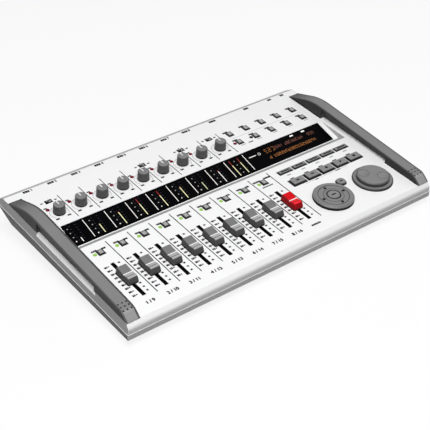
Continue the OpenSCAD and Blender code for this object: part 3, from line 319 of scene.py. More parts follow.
def dressNode(name):
    node = nodes[name]
    family = name.split("_")[0]
    finish = nodeFinish.get(name) or familyFinish.get(family, "keyGrey")
    node.data.materials.clear()
    node.data.materials.append(finishes[finish])
    if family not in roundedFamilies:
        return
    weld = node.modifiers.new("weld", "WELD")
    weld.merge_threshold = edgeRounding["weld"] * mm
    bevel = node.modifiers.new("edges", "BEVEL")
    bevel.limit_method = "ANGLE"
    bevel.angle_limit = math.radians(edgeRounding["angle"])
    bevel.segments = edgeRounding["segments"]
    bevel.width = edgeRounding["width"] * mm
    # large faces stay flat beside their round edges
    shading = node.modifiers.new("shading", "WEIGHTED_NORMAL")
    shading.mode = "FACE_AREA"
    shading.weight = edgeRounding["flatness"]
    shading.keep_sharp = False


for name in nodes:
    dressNode(name)
print("nodes dressed")


# One thin bar lying on a plane, as ink or as a lit segment
def placeBar(bm, plane, x, y, width, depth, height=0.06, lift=0.0):
    spot = plane @ Matrix.Translation((x * mm, y * mm, (lift + height / 2) * mm))
    size = Matrix.Diagonal((width * mm, depth * mm, height * mm, 1.0))
    bmesh.ops.create_cube(bm, size=1.0, matrix=spot @ size)


# A flat dot, or a triangle when it has three segments
def placeDot(bm, plane, x, y, radius, height=0.06, lift=0.0, segments=14, turn=0.0):
    spot = plane @ Matrix.Translation((x * mm, y * mm, (lift + height / 2) * mm))
    spot = spot @ Matrix.Rotation(math.radians(turn), 4, "Z")
    bmesh.ops.create_cone(bm, cap_ends=True, segments=segments, radius1=radius * mm, radius2=radius * mm,
                          depth=height * mm, matrix=spot)


# A ring, or an arc where the sweep is less than a full turn, spun from its section
def placeArc(bm, plane, x, y, radius, width, height=0.06, lift=0.0, steps=36, start=0.0, sweep=360.0):
    spot = plane @ Matrix.Translation((x * mm, y * mm, lift * mm))
    spot = spot @ Matrix.Rotation(math.radians(start), 4, "Z")
    corners = []
    for reach, rise in ((-0.5, 0.0), (0.5, 0.0), (0.5, height), (-0.5, height)):
        corners.append(bm.verts.new(spot @ Vector(((radius + reach * width) * mm, 0.0, rise * mm))))
    face = bm.faces.new(corners)
    bmesh.ops.spin(bm, geom=[face, *face.edges, *corners], cent=spot.translation,
                   axis=spot.to_3x3() @ Vector((0, 0, 1)), angle=math.radians(sweep), steps=steps,
                   use_merge=sweep >= 360.0)
    bmesh.ops.recalc_face_normals(bm, faces=bm.faces)


# Four bars round an opening: its width and depth, and the rim's own width and depth
def placeRim(bm, x, y, opening, rim, height):
    wide, deep = opening
    rimWide, rimDeep = rim
    for side in (-1, 1):
        placeBar(bm, deckFrame, x + side * (wide + rimWide) / 2, y, rimWide, deep + 2 * rimDeep, height)
        placeBar(bm, deckFrame, x, y + side * (deep + rimDeep) / 2, wide, rimDeep, height)


# Plain figures, made a mesh before they are laid in place
figurePlan = {"thick": 0.02, "lift": 0.02}


def placeFigures(bm, figures, x, y, size, bold):
    letters = bpy.data.curves.new("figures", "FONT")
    letters.body = figures
    letters.size = size * mm
    letters.align_x = "CENTER"
    letters.align_y = "CENTER"
    letters.extrude = figurePlan["thick"] * mm
    holder = bpy.data.objects.new("figures", letters)
    bpy.context.scene.collection.objects.link(holder)
    bpy.context.view_layer.update()
    mesh = bpy.data.meshes.new_from_object(holder.evaluated_get(bpy.context.evaluated_depsgraph_get()))
    mesh.transform(deckFrame @ Matrix.Translation((x * mm, y * mm, figurePlan["lift"] * mm)))
    # laid four times to be bold: left, right, front and rear, each step from the one before
    for dx, dy in ((-bold, 0.0), (2 * bold, 0.0), (-bold, -bold), (0.0, 2 * bold)):
        mesh.transform(Matrix.Translation(deckFrame.to_3x3() @ Vector((dx * mm, dy * mm, 0.0))))
        bm.from_mesh(mesh)
    bpy.data.objects.remove(holder)
    bpy.data.curves.remove(letters)
    bpy.data.meshes.remove(mesh)


# A printed caption as a row of small blocks of uneven width, with no lettering
captionBlocks = {"least": 0.7, "most": 1.3, "slim": 0.8, "ink": 0.9, "height": 0.05, "tail": 0.2}
dice = random.Random(16)  # every run draws the same


def placeCaption(bm, x, y, length, height, lift=0.0):
    at = x - length / 2
    end = x + length / 2
    while at < end - captionBlocks["tail"]:
        drawn = dice.uniform(captionBlocks["least"], captionBlocks["most"]) * height * captionBlocks["slim"]
        width = min(drawn, end - at)
        placeBar(bm, deckFrame, at + width / 2, y, width * captionBlocks["ink"], height,
                 captionBlocks["height"], lift)
        at += width


def makePiece(bm, name, finish, body):
    mesh = bpy.data.meshes.new(name)
    bm.to_mesh(mesh)
    bm.free()
    mesh.materials.append(finishes[finish])
    piece = bpy.data.objects.new(name, mesh)
    bpy.context.scene.collection.objects.link(piece)
    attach(piece, body)


captions = bmesh.new()
lines = bmesh.new()
thinRules = bmesh.new()

# Printed lines between the strips
stripLines = ({"rear": 0.9, "front": -82.9, "width": 1.0}, {"rear": 85.8, "front": 46.0, "width": 0.8})


def printLines(x):
    for line in stripLines:
        placeBar(lines, deckFrame, x + pitch / 2, (line["rear"] + line["front"]) / 2, line["width"],
                 line["rear"] - line["front"])


# Captions beside each channel key: shift across, shift along and length
keyCaptions = {"row": -5.9, "height": 2.4, "strip": ((-4.7, 0.0, 6.0), (5.5, -0.6, 4.3)),
               "master": ((-6.0, 0.0, 9.4), (7.5, 0.6, 8.8))}


def printKeyCaptions(x, kind):
    for across, along, length in keyCaptions[kind]:
        placeCaption(captions, x + across, keyCaptions["row"] + along, length, keyCaptions["height"])


# Knob scale: a faint arc, a dash at each end of the turn and one beside the input lamp
knobScale = {"arc": {"radius": 9.3, "width": 0.5, "start": -45.0, "sweep": 270.0}, "dash": (3.8, 2.0),
             "dashMiddle": -0.3, "dashReach": 6.3, "dashShift": -8.3, "lampDash": (3.6, 1.6),
             "lampDashAt": (-8.6, 73.2)}


def printKnobScale(x, kind):
    placeArc(thinRules, deckFrame, x, deckPlan["knobRow"], **knobScale["arc"])
    for side in (-1, 1):
        placeBar(captions, deckFrame, x + knobScale["dashMiddle"] + side * knobScale["dashReach"],
                 deckPlan["knobRow"] + knobScale["dashShift"], *knobScale["dash"])
    if kind == "strip":
        across, row = knobScale["lampDashAt"]
        placeBar(captions, deckFrame, x + across, row, *knobScale["lampDash"])


# Fader scale: figures and ticks to the left, dashes to the right, some of them bold
faderScale = {"rear": -31.2, "front": -76.0, "count": 9, "figureShift": -8.4, "figure": (3.2, 2.4),
              "tickShift": -5.6, "tick": (1.7, 1.3), "dashShift": 6.0, "dash": (2.1, 1.0),
              "boldDash": (2.1, 1.9), "boldRows": (0, 6, 7, 8)}


def printFaderScale(x):
    step = (faderScale["front"] - faderScale["rear"]) / (faderScale["count"] - 1)
    for k in range(faderScale["count"]):
        row = faderScale["rear"] + step * k
        placeCaption(captions, x + faderScale["figureShift"], row, *faderScale["figure"])
        placeBar(captions, deckFrame, x + faderScale["tickShift"], row, *faderScale["tick"])
        dash = faderScale["boldDash" if k in faderScale["boldRows"] else "dash"]
        placeBar(captions, deckFrame, x + faderScale["dashShift"], row, *dash)


# Track numbers at the front, and the captions of the master fader: shift, row, length and height
trackNames = {"shift": -0.2, "row": -89.6, "size": 5.2, "bold": 0.34, "tracksApart": 8,
              "master": ((-0.4, -89.6, 11.8, 2.2), (-0.5, -17.0, 13.4, 1.5))}
for i, x in enumerate(columns):
    kind = "master" if i == lastStrip else "strip"
    printLines(x)
    printKeyCaptions(x, kind)
    printKnobScale(x, kind)
    printFaderScale(x)
    if kind == "master":
        for across, row, length, height in trackNames["master"]:
            placeCaption(captions, x + across, row, length, height)
    else:
        placeFigures(captions, f"{i + 1} / {i + 1 + trackNames['tracksApart']}", x + trackNames["shift"],
                     trackNames["row"], trackNames["size"], trackNames["bold"])

# Captions along the rear edge: numbered inputs, then the other sockets
rearCaptions = {"row": 106.5, "height": 3.1, "count": 8, "first": -160.2, "pitch": 27.45, "wordShift": -1.4,
                "word": 7.4, "figureShift": 4.4, "figure": 4.6, "bold": 0.28,
                "others": ((67.6, 9.0), (114.4, 6.6), (148.1, 5.4), (166.2, 5.4))}
for i in range(rearCaptions["count"]):
    x = rearCaptions["first"] + rearCaptions["pitch"] * i
    placeCaption(captions, x + rearCaptions["wordShift"], rearCaptions["row"], rearCaptions["word"],
                 rearCaptions["height"])
    placeFigures(captions, str(i + 1), x + rearCaptions["figureShift"], rearCaptions["row"],
                 rearCaptions["figure"], rearCaptions["bold"])
for x, length in rearCaptions["others"]:
    placeCaption(captions, x, rearCaptions["row"], length, rearCaptions["height"])

# Captions of the keys on the right: shift across, shift along, length and height
keyNotes = {"function": (-2.6, 4.8, 6.6, 2.4), "functionNote": (0.5, -6.2, 6.0, 1.4),
            "softNote": (0.0, -6.6, 5.2, 1.7), "transport": (-1.6, 7.0, 5.6, 1.4)}


def printNote(bm, x, row, kind):
    across, along, length, height = keyNotes[kind]
    placeCaption(bm, x + across, row + along, length, height)


for functionX, softX in zip(functionColumns, softColumns):
    for row in (functionRear, functionFront):
        printNote(captions, functionX, row, "function")
    printNote(thinRules, functionX, functionFront, "functionNote")
    printNote(thinRules, softX, softRow, "softNote")
    printNote(captions, softX, transportRow, "transport")

# Thin rules and dashes among the keys: place across and along, width and depth
keyRules = {"pale": ((112.5, 68.3, 97.0, 0.4), (106.2, -35.2, 57.4, 0.4)),
            "dark": ((78.6, 53.5, 5.8, 1.5), (92.6, -35.2, 4.4, 1.3), (121.5, -35.2, 6.4, 1.3))}
for bar in keyRules["pale"]:
    placeBar(thinRules, deckFrame, *bar)
for bar in keyRules["dark"]:
    placeBar(captions, deckFrame, *bar)

# Small slide switches: a black rim round the slot of each and a dash at either side
switchPrint = {"slot": (6.4, 2.8), "rim": (0.7, 1.2), "height": 0.2, "dash": (2.8, 1.5), "dashReach": 7.5,
               "dashSkew": 0.4}
switchColumns = (columns[0], columns[4] + pitch / 2, columns[6] + pitch / 2, columns[lastStrip])
switchRow = deckSpot("slide_switches")["y"]
for x in switchColumns:
    placeRim(captions, x, switchRow, switchPrint["slot"], switchPrint["rim"], switchPrint["height"])
    for side in (-1, 1):
        placeBar(captions, deckFrame, x + side * switchPrint["dashReach"],
                 switchRow - side * switchPrint["dashSkew"], *switchPrint["dash"])

# Painted shadow: thin dark lines in the gaps where the rails stand on the deck, left out along the hand holds
railGapShadows = {"inner": 171.3, "outer": 185.2, "front": -100.2, "rear": 99.1, "width": 0.5,
             "holdFront": -52.6, "holdRear": 46.5}
gapShadowStretches = ((railGapShadows["front"], railGapShadows["holdFront"]), (railGapShadows["holdRear"], railGapShadows["rear"]))
for side in (-1, 1):
    for front, rear in gapShadowStretches:
        placeBar(lines, deckFrame, side * (railGapShadows["inner"] - railGapShadows["width"] / 2), (front + rear) / 2,
                 railGapShadows["width"], rear - front)
    placeBar(lines, deckFrame, side * (railGapShadows["inner"] + railGapShadows["outer"]) / 2,
             railGapShadows["rear"] + railGapShadows["width"] / 2, railGapShadows["outer"] - railGapShadows["inner"],
             railGapShadows["width"])
makePiece(captions, "deckCaptions", "inkAndPaintedShade", "base")
# Printed lines between the strips, with the painted gap shadows of the rails
makePiece(lines, "deckLinesAndGapShadows", "inkAndPaintedShade", "base")
makePiece(thinRules, "deckRules", "inkPale", "base")
print("deck print laid")

# Painted shade: black rims in the gaps round the openings of the keys, and rings of painted shadow round the
# pad, the dial and the round key
keyGapShades = {
    "height": 0.12, "steps": 72, "small": ((5.0, 6.0), (1.3, 1.3)), "soft": ((16.2, 4.8), (1.0, 1.0)),
    "transport": ((16.2, 9.6), (1.1, 1.1)),
    "rings": {"cursor_pad": {"radius": 20.2, "width": 1.8}, "jog_dial": {"radius": 20.4, "width": 1.5},
              "round_key": {"radius": 5.6, "width": 0.6}},
}
keyGapShadeMesh = bmesh.new()
for x in columns:
    placeRim(keyGapShadeMesh, x, channelRow, *keyGapShades["small"], keyGapShades["height"])
for functionX, softX in zip(functionColumns, softColumns):
    for row in (functionRear, functionFront):
        placeRim(keyGapShadeMesh, functionX, row, *keyGapShades["small"], keyGapShades["height"])
    placeRim(keyGapShadeMesh, softX, softRow, *keyGapShades["soft"], keyGapShades["height"])
    placeRim(keyGapShadeMesh, softX, transportRow, *keyGapShades["transport"], keyGapShades["height"])
for name, ring in keyGapShades["rings"].items():
    spot = deckSpot(name)
    placeArc(keyGapShadeMesh, deckFrame, spot["x"], spot["y"], height=keyGapShades["height"], steps=keyGapShades["steps"],
             **ring)
makePiece(keyGapShadeMesh, "keyGapShadows", "inkAndPaintedShade", "base")
print("key surrounds laid")

# Painted glow round the lamps: rings round the lenses that glow in the colour of each lamp. Shift from the
# column, and row
lampGlowRings = {"ring": {"radius": 1.75, "width": 0.6, "height": 0.12, "steps": 24}, "channel": (-6.4, -10.6),
               "input": (-7.6, 70.2), "function": (-6.2, 59.7), "functionCount": 2}
lampColumns = {"channel": columns, "input": columns[:lastStrip],
               "function": functionColumns[:lampGlowRings["functionCount"]]}
glowRings = bmesh.new()
for kind, places in lampColumns.items():
    across, row = lampGlowRings[kind]
    for x in places:
        placeArc(glowRings, deckFrame, x + across, row, **lampGlowRings["ring"])
makePiece(glowRings, "lampGlowRings", "lampColours", "base")
print("lamp collars laid")

# Painted shade inside the fader slots: black sheets on their walls, at both sides and at the rear end
slotShadePlan = {"front": -80.2, "rear": -28.5, "width": 4.0, "thick": 0.12, "depth": 2.4, "rise": 0.02}
slotMiddle = (slotShadePlan["front"] + slotShadePlan["rear"]) / 2
slotLength = slotShadePlan["rear"] - slotShadePlan["front"]
slotFoot = slotShadePlan["rise"] - slotShadePlan["depth"]
slotShadeMesh = bmesh.new()
for x in columns:
    for side in (-1, 1):
        placeBar(slotShadeMesh, deckFrame, x + side * (slotShadePlan["width"] - slotShadePlan["thick"]) / 2, slotMiddle,
                 slotShadePlan["thick"], slotLength, slotShadePlan["depth"], slotFoot)
    placeBar(slotShadeMesh, deckFrame, x, slotShadePlan["rear"] - slotShadePlan["thick"] / 2, slotShadePlan["width"],
             slotShadePlan["thick"], slotShadePlan["depth"], slotFoot)
makePiece(slotShadeMesh, "slotShades", "slotBlack", "base")
print("fader slots lined")

# Display strip: rules between the fields, level bars with their faint scales, and dots
display = {
    "height": 0.04, "rule": {"rear": -2.5, "front": -25.2, "width": 0.7},
    "bar": {"shift": -0.4, "foot": -25.4, "redFrom": -10.2, "width": 0.82},
    "levels": (5.1, 11.2, 16.3, 22.0, 21.6, 15.9, 10.6, 16.4), "tones": {0: "white", 6: "pale", 7: "white"},
    "masterBars": ((-6.2, 21.8), (4.3, 21.4)),  # shift and level
    "scale": {"shifts": (-3.6, 2.6), "rows": (-4.2, -7.8, -11.4, -15.0, -18.6, -22.2), "tick": (1.5, 0.7)},
    "dots": {"rows": (-6.3, -11.8, -17.4, -22.9), "radius": 0.62, "shift": -6.7, "masterShift": -1.0},
}
fieldRules = bmesh.new()
dots = bmesh.new()
levels = {"yellow": bmesh.new(), "white": bmesh.new(), "pale": bmesh.new()}
peaks = bmesh.new()
ticks = bmesh.new()


def lightBar(bm, x, y, width, depth):
    placeBar(bm, bayFrame, x, y, width, depth, display["height"])


def lightDot(bm, x, y):
    placeDot(bm, bayFrame, x, y, display["dots"]["radius"], display["height"])


def lightLevel(x, level, tone):
    foot = display["bar"]["foot"]
    head = foot + level
    split = min(head, display["bar"]["redFrom"])
    lightBar(levels[tone], x, (foot + split) / 2, display["bar"]["width"], split - foot)
    if head > split:
        lightBar(peaks, x, (split + head) / 2, display["bar"]["width"], head - split)


def lightField(i, x):
    lightLevel(x + display["bar"]["shift"], display["levels"][i], display["tones"].get(i, "yellow"))
    for shift in display["scale"]["shifts"]:
        for y in display["scale"]["rows"]:
            lightBar(ticks, x + shift, y, *display["scale"]["tick"])
    *dimRows, brightRow = display["dots"]["rows"]
    for y in dimRows:
        lightDot(dots, x + display["dots"]["shift"], y)
    lightDot(fieldRules, x + display["dots"]["shift"], brightRow)  # as bright as the rules


def lightMasterField(x):
    for shift, level in display["masterBars"]:
        lightLevel(x + shift, level, "yellow")
    for y in display["dots"]["rows"]:
        lightDot(dots, x + display["dots"]["masterShift"], y)


for i, x in enumerate(columns):
    rule = display["rule"]
    lightBar(fieldRules, x + pitch / 2, (rule["rear"] + rule["front"]) / 2, rule["width"],
             rule["rear"] - rule["front"])
    if i == lastStrip:
        lightMasterField(x)
    else:
        lightField(i, x)
makePiece(fieldRules, "displayRules", "glowWhite", "base")
makePiece(dots, "displayDots", "glowDim", "base")
makePiece(ticks, "displayScales", "glowFaint", "base")
for tone, finish in (("yellow", "glowYellow"), ("white", "glowWhite"), ("pale", "glowPale")):
    makePiece(levels[tone], f"{tone}Levels", finish, "base")
makePiece(peaks, "levelPeaks", "glowRed", "base")

# Made-up characters, each a few strokes of a seven-stroke figure. The rear row starts with large ones
characterField = {"first": 81.0, "last": 148.0, "rows": (-9.3, -18.6), "large": 5.0, "largeCount": 3,
                  "small": 3.4, "slim": 0.56, "inset": 0.3, "advance": 0.95, "stroke": 0.5,
                  "strokeCounts": (4, 5, 6), "blanks": 0.12}
# strokes: place across in widths, place along in half heights, and whether it lies across
strokePlaces = ((0, 1, True), (0, 0, True), (0, -1, True), (-0.5, 0.5, False), (0.5, 0.5, False),
                (-0.5, -0.5, False), (0.5, -0.5, False))


def lightCharacter(bm, x, y, height, strokes):
    width = height * characterField["slim"]
    half = height / 2
    for k in strokes:
        across, along, lying = strokePlaces[k]
        size = (width, characterField["stroke"]) if lying else (characterField["stroke"], half)
        lightBar(bm, x + across * width, y + along * half, *size)


amber = bmesh.new()
rose = bmesh.new()
for row, y in enumerate(characterField["rows"]):
    at = characterField["first"]
    index = 0
    while at < characterField["last"]:
        leading = index < characterField["largeCount"]
        height = characterField["large"] if row == 0 and leading else characterField["small"]
        strokes = dice.sample(range(len(strokePlaces)), dice.choice(characterField["strokeCounts"]))
        if dice.random() > characterField["blanks"]:
            field = amber if row == 1 or leading else rose
            lightCharacter(field, at + height * characterField["inset"], y, height, strokes)
        at += height * characterField["advance"]
        index += 1
makePiece(amber, "displayFigures", "glowAmber", "base")
makePiece(rose, "displayNotes", "glowRose", "base")

# White signs of the display: bars by place, width and depth, and one ring
displaySigns = {"bars": ((122.5, -3.4, 4.4, 1.8), (138.5, -3.4, 4.4, 1.8), (64.2, -9.4, 9.2, 0.9)),
                "ring": {"x": 73.3, "y": -9.4, "radius": 1.5, "width": 0.4}}
signs = bmesh.new()
for bar in displaySigns["bars"]:
    lightBar(signs, *bar)
placeArc(signs, bayFrame, height=display["height"], **displaySigns["ring"])
makePiece(signs, "displaySigns", "glowWhite", "base")
print("display lit")

# Marks of a fader cap: printed white line across its saddle, painted shade in its groove, painted highlights
# on two ridges and a dark block of painted shadow round its foot
faderMarks = {
    "line": {"along": -1.1, "size": (9.7, 1.15, 0.5), "lift": 6.22},
    "grooveShade": {"along": -5.45, "size": (9.4, 0.7, 0.2), "lift": 6.8},
    "ridgeHighlights": ({"along": -3.5, "size": (9.2, 3.0, 0.06), "lift": 6.74, "slope": -3.7},
               {"along": -7.4, "size": (9.1, 2.3, 0.06), "lift": 7.13, "slope": 10.5}),
    "foot": {"size": (11.5, 21.5, 0.95), "lift": 0.3, "corner": 1.45, "segments": 3, "upright": 0.9},
}
# Marks of a knob: printed pale pointer, and dark rims of painted shade at its top and its foot
knobMarks = {
    "pointer": {"along": 2.9, "size": (1.1, 5.4, 0.5), "lift": 9.55}, "steps": 48,
    "shadeRims": ({"radius": 5.35, "width": 0.7, "lift": 9.35, "height": 0.46},
             {"radius": 6.0, "width": 0.3, "lift": 0.5, "height": 0.9}),
}


def placeMark(bm, x, row, mark):
    placeBar(bm, deckFrame, x, row + mark["along"], *mark["size"], mark["lift"])


# A painted highlight on one ridge of a fader cap
def placeRidgeHighlight(bm, x, row, ridgeHighlight):
    plane = deckFrame @ Matrix.Translation((x * mm, (row + ridgeHighlight["along"]) * mm, ridgeHighlight["lift"] * mm))
    placeBar(bm, plane @ Matrix.Rotation(math.radians(ridgeHighlight["slope"]), 4, "X"), 0.0, 0.0, *ridgeHighlight["size"])


# A block whose upright edges are rounded: the painted shadow round the foot of a fader cap
def placeFootShadow(bm, x, row, foot):
    width, depth, height = foot["size"]
    spot = deckFrame @ Matrix.Translation((x * mm, row * mm, (foot["lift"] + height / 2) * mm))
    size = Matrix.Diagonal((width * mm, depth * mm, height * mm, 1.0))
    made = bmesh.ops.create_cube(bm, size=1.0, matrix=spot @ size)
    upright = []
    for edge in {edge for vert in made["verts"] for edge in vert.link_edges}:
        direction = (edge.verts[0].co - edge.verts[1].co).normalized()
        if abs(direction.dot(deckNormal)) > foot["upright"]:
            upright.append(edge)
    bmesh.ops.bevel(bm, geom=upright, offset=foot["corner"] * mm, affect="EDGES", segments=foot["segments"],
                    profile=0.5, material=-1)


for i, x in enumerate(columns):
    fader = f"fader_{i + 1}"
    capRow = deckSpot(fader)["y"]
    line = bmesh.new()
    placeMark(line, x, capRow, faderMarks["line"])
    makePiece(line, f"faderLine{i + 1}", "inkWhite", fader)
    # painted shade in the groove and painted shadow round the foot
    grooveShade = bmesh.new()
    placeMark(grooveShade, x, capRow, faderMarks["grooveShade"])
    placeFootShadow(grooveShade, x, capRow, faderMarks["foot"])
    makePiece(grooveShade, f"faderShades{i + 1}", "inkAndPaintedShade", fader)
    # painted highlights on the two ridges, lighter copies of the cap colour
    ridgeHighlights = bmesh.new()
    for ridgeHighlight in faderMarks["ridgeHighlights"]:
        placeRidgeHighlight(ridgeHighlights, x, capRow, ridgeHighlight)
    if i == lastStrip:  # this cap is red all over
        makePiece(ridgeHighlights, f"faderRidgeHighlights{i + 1}", "capRedHighlight", fader)
    else:
        makePiece(ridgeHighlights, f"faderRidgeHighlights{i + 1}", "capHighlight", fader)
    knob = f"knob_{i + 1}"
    pointer = bmesh.new()
    placeMark(pointer, x, deckPlan["knobRow"], knobMarks["pointer"])
    makePiece(pointer, f"knobPointer{i + 1}", "inkWhite", knob)
    # dark rims of painted shade at the knob's top and foot
    shadeRims = bmesh.new()
    for rim in knobMarks["shadeRims"]:
        placeArc(shadeRims, deckFrame, x, deckPlan["knobRow"], steps=knobMarks["steps"], **rim)
    makePiece(shadeRims, f"knobShadeRim{i + 1}", "inkAndPaintedShade", knob)
print("faders and knobs marked")

# Signs on the transport keys; those with shifts are triangles
transportSigns = {
    "back": {"size": 1.7, "turn": 90.0, "shifts": (-1.2, 0.8)},
    "forward": {"size": 1.7, "turn": -90.0, "shifts": (-0.8, 1.2)},
    "stop": {"size": 3.0},
    "play": {"size": 2.2, "turn": -90.0, "shifts": (0.0,)},
    "record": {"size": 1.8},
}
triangleHeight = 0.1  # half of it is sunk in the key
for i, (kind, plan) in enumerate(transportSigns.items()):
    key = f"transport_key_{i + 1}"
    spot = deckSpot(key)
    sign = bmesh.new()
    if kind == "stop":
        placeBar(sign, deckFrame, spot["x"], spot["y"], plan["size"], plan["size"], lift=spot["top"])
    elif kind == "record":
        placeDot(sign, deckFrame, spot["x"], spot["y"], plan["size"], lift=spot["top"])
    else:
        for shift in plan["shifts"]:
            placeDot(sign, deckFrame, spot["x"] + shift, spot["y"], plan["size"], triangleHeight,
                     spot["top"] - triangleHeight / 2, 3, plan["turn"])
    makePiece(sign, f"transportSign{i + 1}", "inkAndPaintedShade", key)
print("transport signs fitted")

# Cursor pad: painted shade in the groove round the enter key and at two grey steps, and four black pips
padMarks = {
    "height": 0.08, "turnSteps": 72, "grooveShade": {"radius": 7.15, "width": 0.7, "lift": 4.38},
    "steps": ({"radius": 10.5, "width": 0.5, "lift": 3.78}, {"radius": 15.7, "width": 0.7, "lift": 3.78}),
    "pip": {"radius": 1.6, "lift": 4.08}, "pipReach": 13.0,
}
padSpot = deckSpot("cursor_pad")


def placePadRing(bm, ring):
    placeArc(bm, deckFrame, padSpot["x"], padSpot["y"], height=padMarks["height"],
             steps=padMarks["turnSteps"], **ring)


padStepShades = bmesh.new()
for ring in padMarks["steps"]:
    placePadRing(padStepShades, ring)
makePiece(padStepShades, "padStepShades", "shadeGrey", "cursor_pad")
padGrooveShadesAndPips = bmesh.new()
placePadRing(padGrooveShadesAndPips, padMarks["grooveShade"])
for dx, dy in ((1, 0), (0, 1), (-1, 0), (0, -1)):
    placeDot(padGrooveShadesAndPips, deckFrame, padSpot["x"] + dx * padMarks["pipReach"],
             padSpot["y"] + dy * padMarks["pipReach"], height=padMarks["height"], **padMarks["pip"])
makePiece(padGrooveShadesAndPips, "padGrooveShadesAndPips", "inkAndPaintedShade", "cursor_pad")

# Captions on the keys themselves: node, length and height
capCaptions = {"enterCaption": ("enter_key", 5.6, 1.9), "roundCaption": ("round_key", 4.2, 1.7),
               "softCaptions": ("soft_keys", 10.4, 1.9)}
captionSink = 0.02
for name, (key, length, height) in capCaptions.items():
    spot = deckSpot(key)
    places = softColumns if key == "soft_keys" else [spot["x"]]
    caption = bmesh.new()
    for x in places:
        placeCaption(caption, x, spot["y"], length, height, spot["top"] - captionSink)
    makePiece(caption, name, "inkAndPaintedShade", key)
print("pad and key captions fitted")

# Painted shade: dark rims of the dial's two finger dimples, and dark bands round the walls of its dome and
# its flange
dialMarks = {
    "dimple": {"radius": 6.0, "width": 0.35, "height": 0.06, "lift": 6.57, "steps": 48}, "reach": 10.0,
    "turns": (135.0, 315.0),
    "bands": ({"radius": 17.06, "width": 0.12, "height": 3.3, "lift": 2.4, "steps": 72},
              {"radius": 21.0, "width": 0.12, "height": 0.6, "lift": 1.2, "steps": 72}),
}
dialSpot = deckSpot("jog_dial")
dialShadeRims = bmesh.new()
for turn in dialMarks["turns"]:
    dimpleX = dialSpot["x"] + dialMarks["reach"] * math.cos(math.radians(turn))
    dimpleY = dialSpot["y"] + dialMarks["reach"] * math.sin(math.radians(turn))
    placeArc(dialShadeRims, deckFrame, dimpleX, dimpleY, **dialMarks["dimple"])
for band in dialMarks["bands"]:
    placeArc(dialShadeRims, deckFrame, dialSpot["x"], dialSpot["y"], **band)
makePiece(dialShadeRims, "dialShadeRims", "shadeGrey", "jog_dial")
print("dial rims fitted")

# Camera at the photograph's angle, given in the deck's frame
cameraView = {"azimuth": -40.40, "elevation": 37.91, "roll": 4.13, "distance": 1067.5, "clipStart": 0.01,
              "target": (-30.4, -24.7, 0.0), "lens": 92.83, "sensor": 36.0}
azimuth = math.radians(cameraView["azimuth"])
elevation = math.radians(cameraView["elevation"])
reach = math.cos(elevation)
back = Vector((math.sin(azimuth) * reach, -math.cos(azimuth) * reach, math.sin(elevation)))
right = Vector((math.cos(azimuth), math.sin(azimuth), 0.0))
up = back.cross(right)
cameraTurn = Matrix((right, up, back)).transposed().to_4x4()
cameraTurn = cameraTurn @ Matrix.Rotation(math.radians(cameraView["roll"]), 4, "Z")
cameraTurn.translation = (Vector(cameraView["target"]) + back * cameraView["distance"]) * mm
cameraData = bpy.data.cameras.new("camera")
cameraData.sensor_width = cameraView["sensor"]
cameraData.lens = cameraView["lens"]
cameraData.clip_start = cameraView["clipStart"]
camera = bpy.data.objects.new("camera", cameraData)
bpy.context.scene.collection.objects.link(camera)
camera.matrix_world = deckFrame @ cameraTurn
bpy.context.scene.camera = camera
print("camera set")


# Whether a ray shows the floor or the backdrop: camera, glossy and transmission rays do
def seenDirectly(tree):
    path = tree.nodes.new("ShaderNodeLightPath")
    seen = path.outputs["Is Camera Ray"]
    for ray in ("Is Glossy Ray", "Is Transmission Ray"):
        either = tree.nodes.new("ShaderNodeMath")
        either.operation = "MAXIMUM"
        tree.links.new(seen, either.inputs[0])
        nodeLink(tree, path, ray, either, 1)
        seen = either.outputs["Value"]
    return seen


# Pale floor that keeps the shadow, shows white to the camera and throws little light back
floorPlan = {"size": 6.0, "glow": 0.86, "colour": (0.9, 0.9, 0.9), "bounce": (0.12, 0.12, 0.12)}


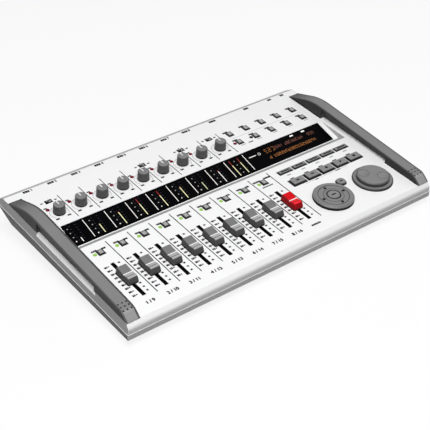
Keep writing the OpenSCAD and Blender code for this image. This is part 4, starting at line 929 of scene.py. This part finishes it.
def floorFinish(name):
    material = bpy.data.materials.new(name)
    material.use_nodes = True
    tree = material.node_tree
    tree.nodes.clear()
    seen = seenDirectly(tree)
    tint = tree.nodes.new("ShaderNodeMix")
    tint.data_type = "RGBA"
    tint.inputs["A"].default_value = shade(floorPlan["bounce"])
    tint.inputs["B"].default_value = shade(floorPlan["colour"])
    tree.links.new(seen, tint.inputs["Factor"])
    matte = tree.nodes.new("ShaderNodeBsdfDiffuse")
    nodeLink(tree, tint, "Result", matte, "Color")
    glow = tree.nodes.new("ShaderNodeEmission")
    glow.inputs["Strength"].default_value = 1.0
    share = tree.nodes.new("ShaderNodeMath")
    share.operation = "MULTIPLY"
    share.inputs[1].default_value = floorPlan["glow"]
    tree.links.new(seen, share.inputs[0])
    mix = tree.nodes.new("ShaderNodeMixShader")
    nodeLink(tree, share, "Value", mix, "Fac")
    nodeLink(tree, matte, "BSDF", mix, 1)
    nodeLink(tree, glow, "Emission", mix, 2)
    output = tree.nodes.new("ShaderNodeOutputMaterial")
    nodeLink(tree, mix, "Shader", output, "Surface")
    return material


floorShape = bmesh.new()
bmesh.ops.create_grid(floorShape, x_segments=1, y_segments=1, size=floorPlan["size"] / 2)
floorMesh = bpy.data.meshes.new("floor")
floorShape.to_mesh(floorMesh)
floorShape.free()
floorMesh.materials.append(floorFinish("floorPale"))
floor = bpy.data.objects.new("floor", floorMesh)
bpy.context.scene.collection.objects.link(floor)

# Soft studio light: one broad box above, a little to the front and left, and a weak one on the right
studio = {
    "overhead": {"place": (-0.42, -0.612, 1.53), "size": 1.0, "power": 30.6},
    "fill": {"place": (1.35, -0.1, 0.75), "size": 1.0, "power": 3.1},
}
for lampName, lamp in studio.items():
    lightData = bpy.data.lights.new(lampName, "AREA")
    lightData.shape = "SQUARE"
    lightData.size = lamp["size"]
    lightData.energy = lamp["power"]
    light = bpy.data.objects.new(lampName, lightData)
    light.location = lamp["place"]
    light.rotation_euler = (-Vector(lamp["place"])).to_track_quat("-Z", "Y").to_euler()
    bpy.context.scene.collection.objects.link(light)

# White backdrop that gives the object only a weak light from all round
backdropPlan = {"colour": (1.0, 1.0, 1.0), "lit": 0.05, "seen": 1.0}
world = bpy.data.worlds.new("studio")
bpy.context.scene.world = world
world.use_nodes = True
worldTree = world.node_tree
backdrop = worldTree.nodes["Background"]
backdrop.inputs["Color"].default_value = shade(backdropPlan["colour"])
strength = worldTree.nodes.new("ShaderNodeMapRange")
strength.inputs["To Min"].default_value = backdropPlan["lit"]
strength.inputs["To Max"].default_value = backdropPlan["seen"]
worldTree.links.new(seenDirectly(worldTree), strength.inputs["Value"])
nodeLink(worldTree, strength, "Result", backdrop, "Strength")
bpy.context.scene.view_settings.view_transform = "Standard"
print("floor and light set")
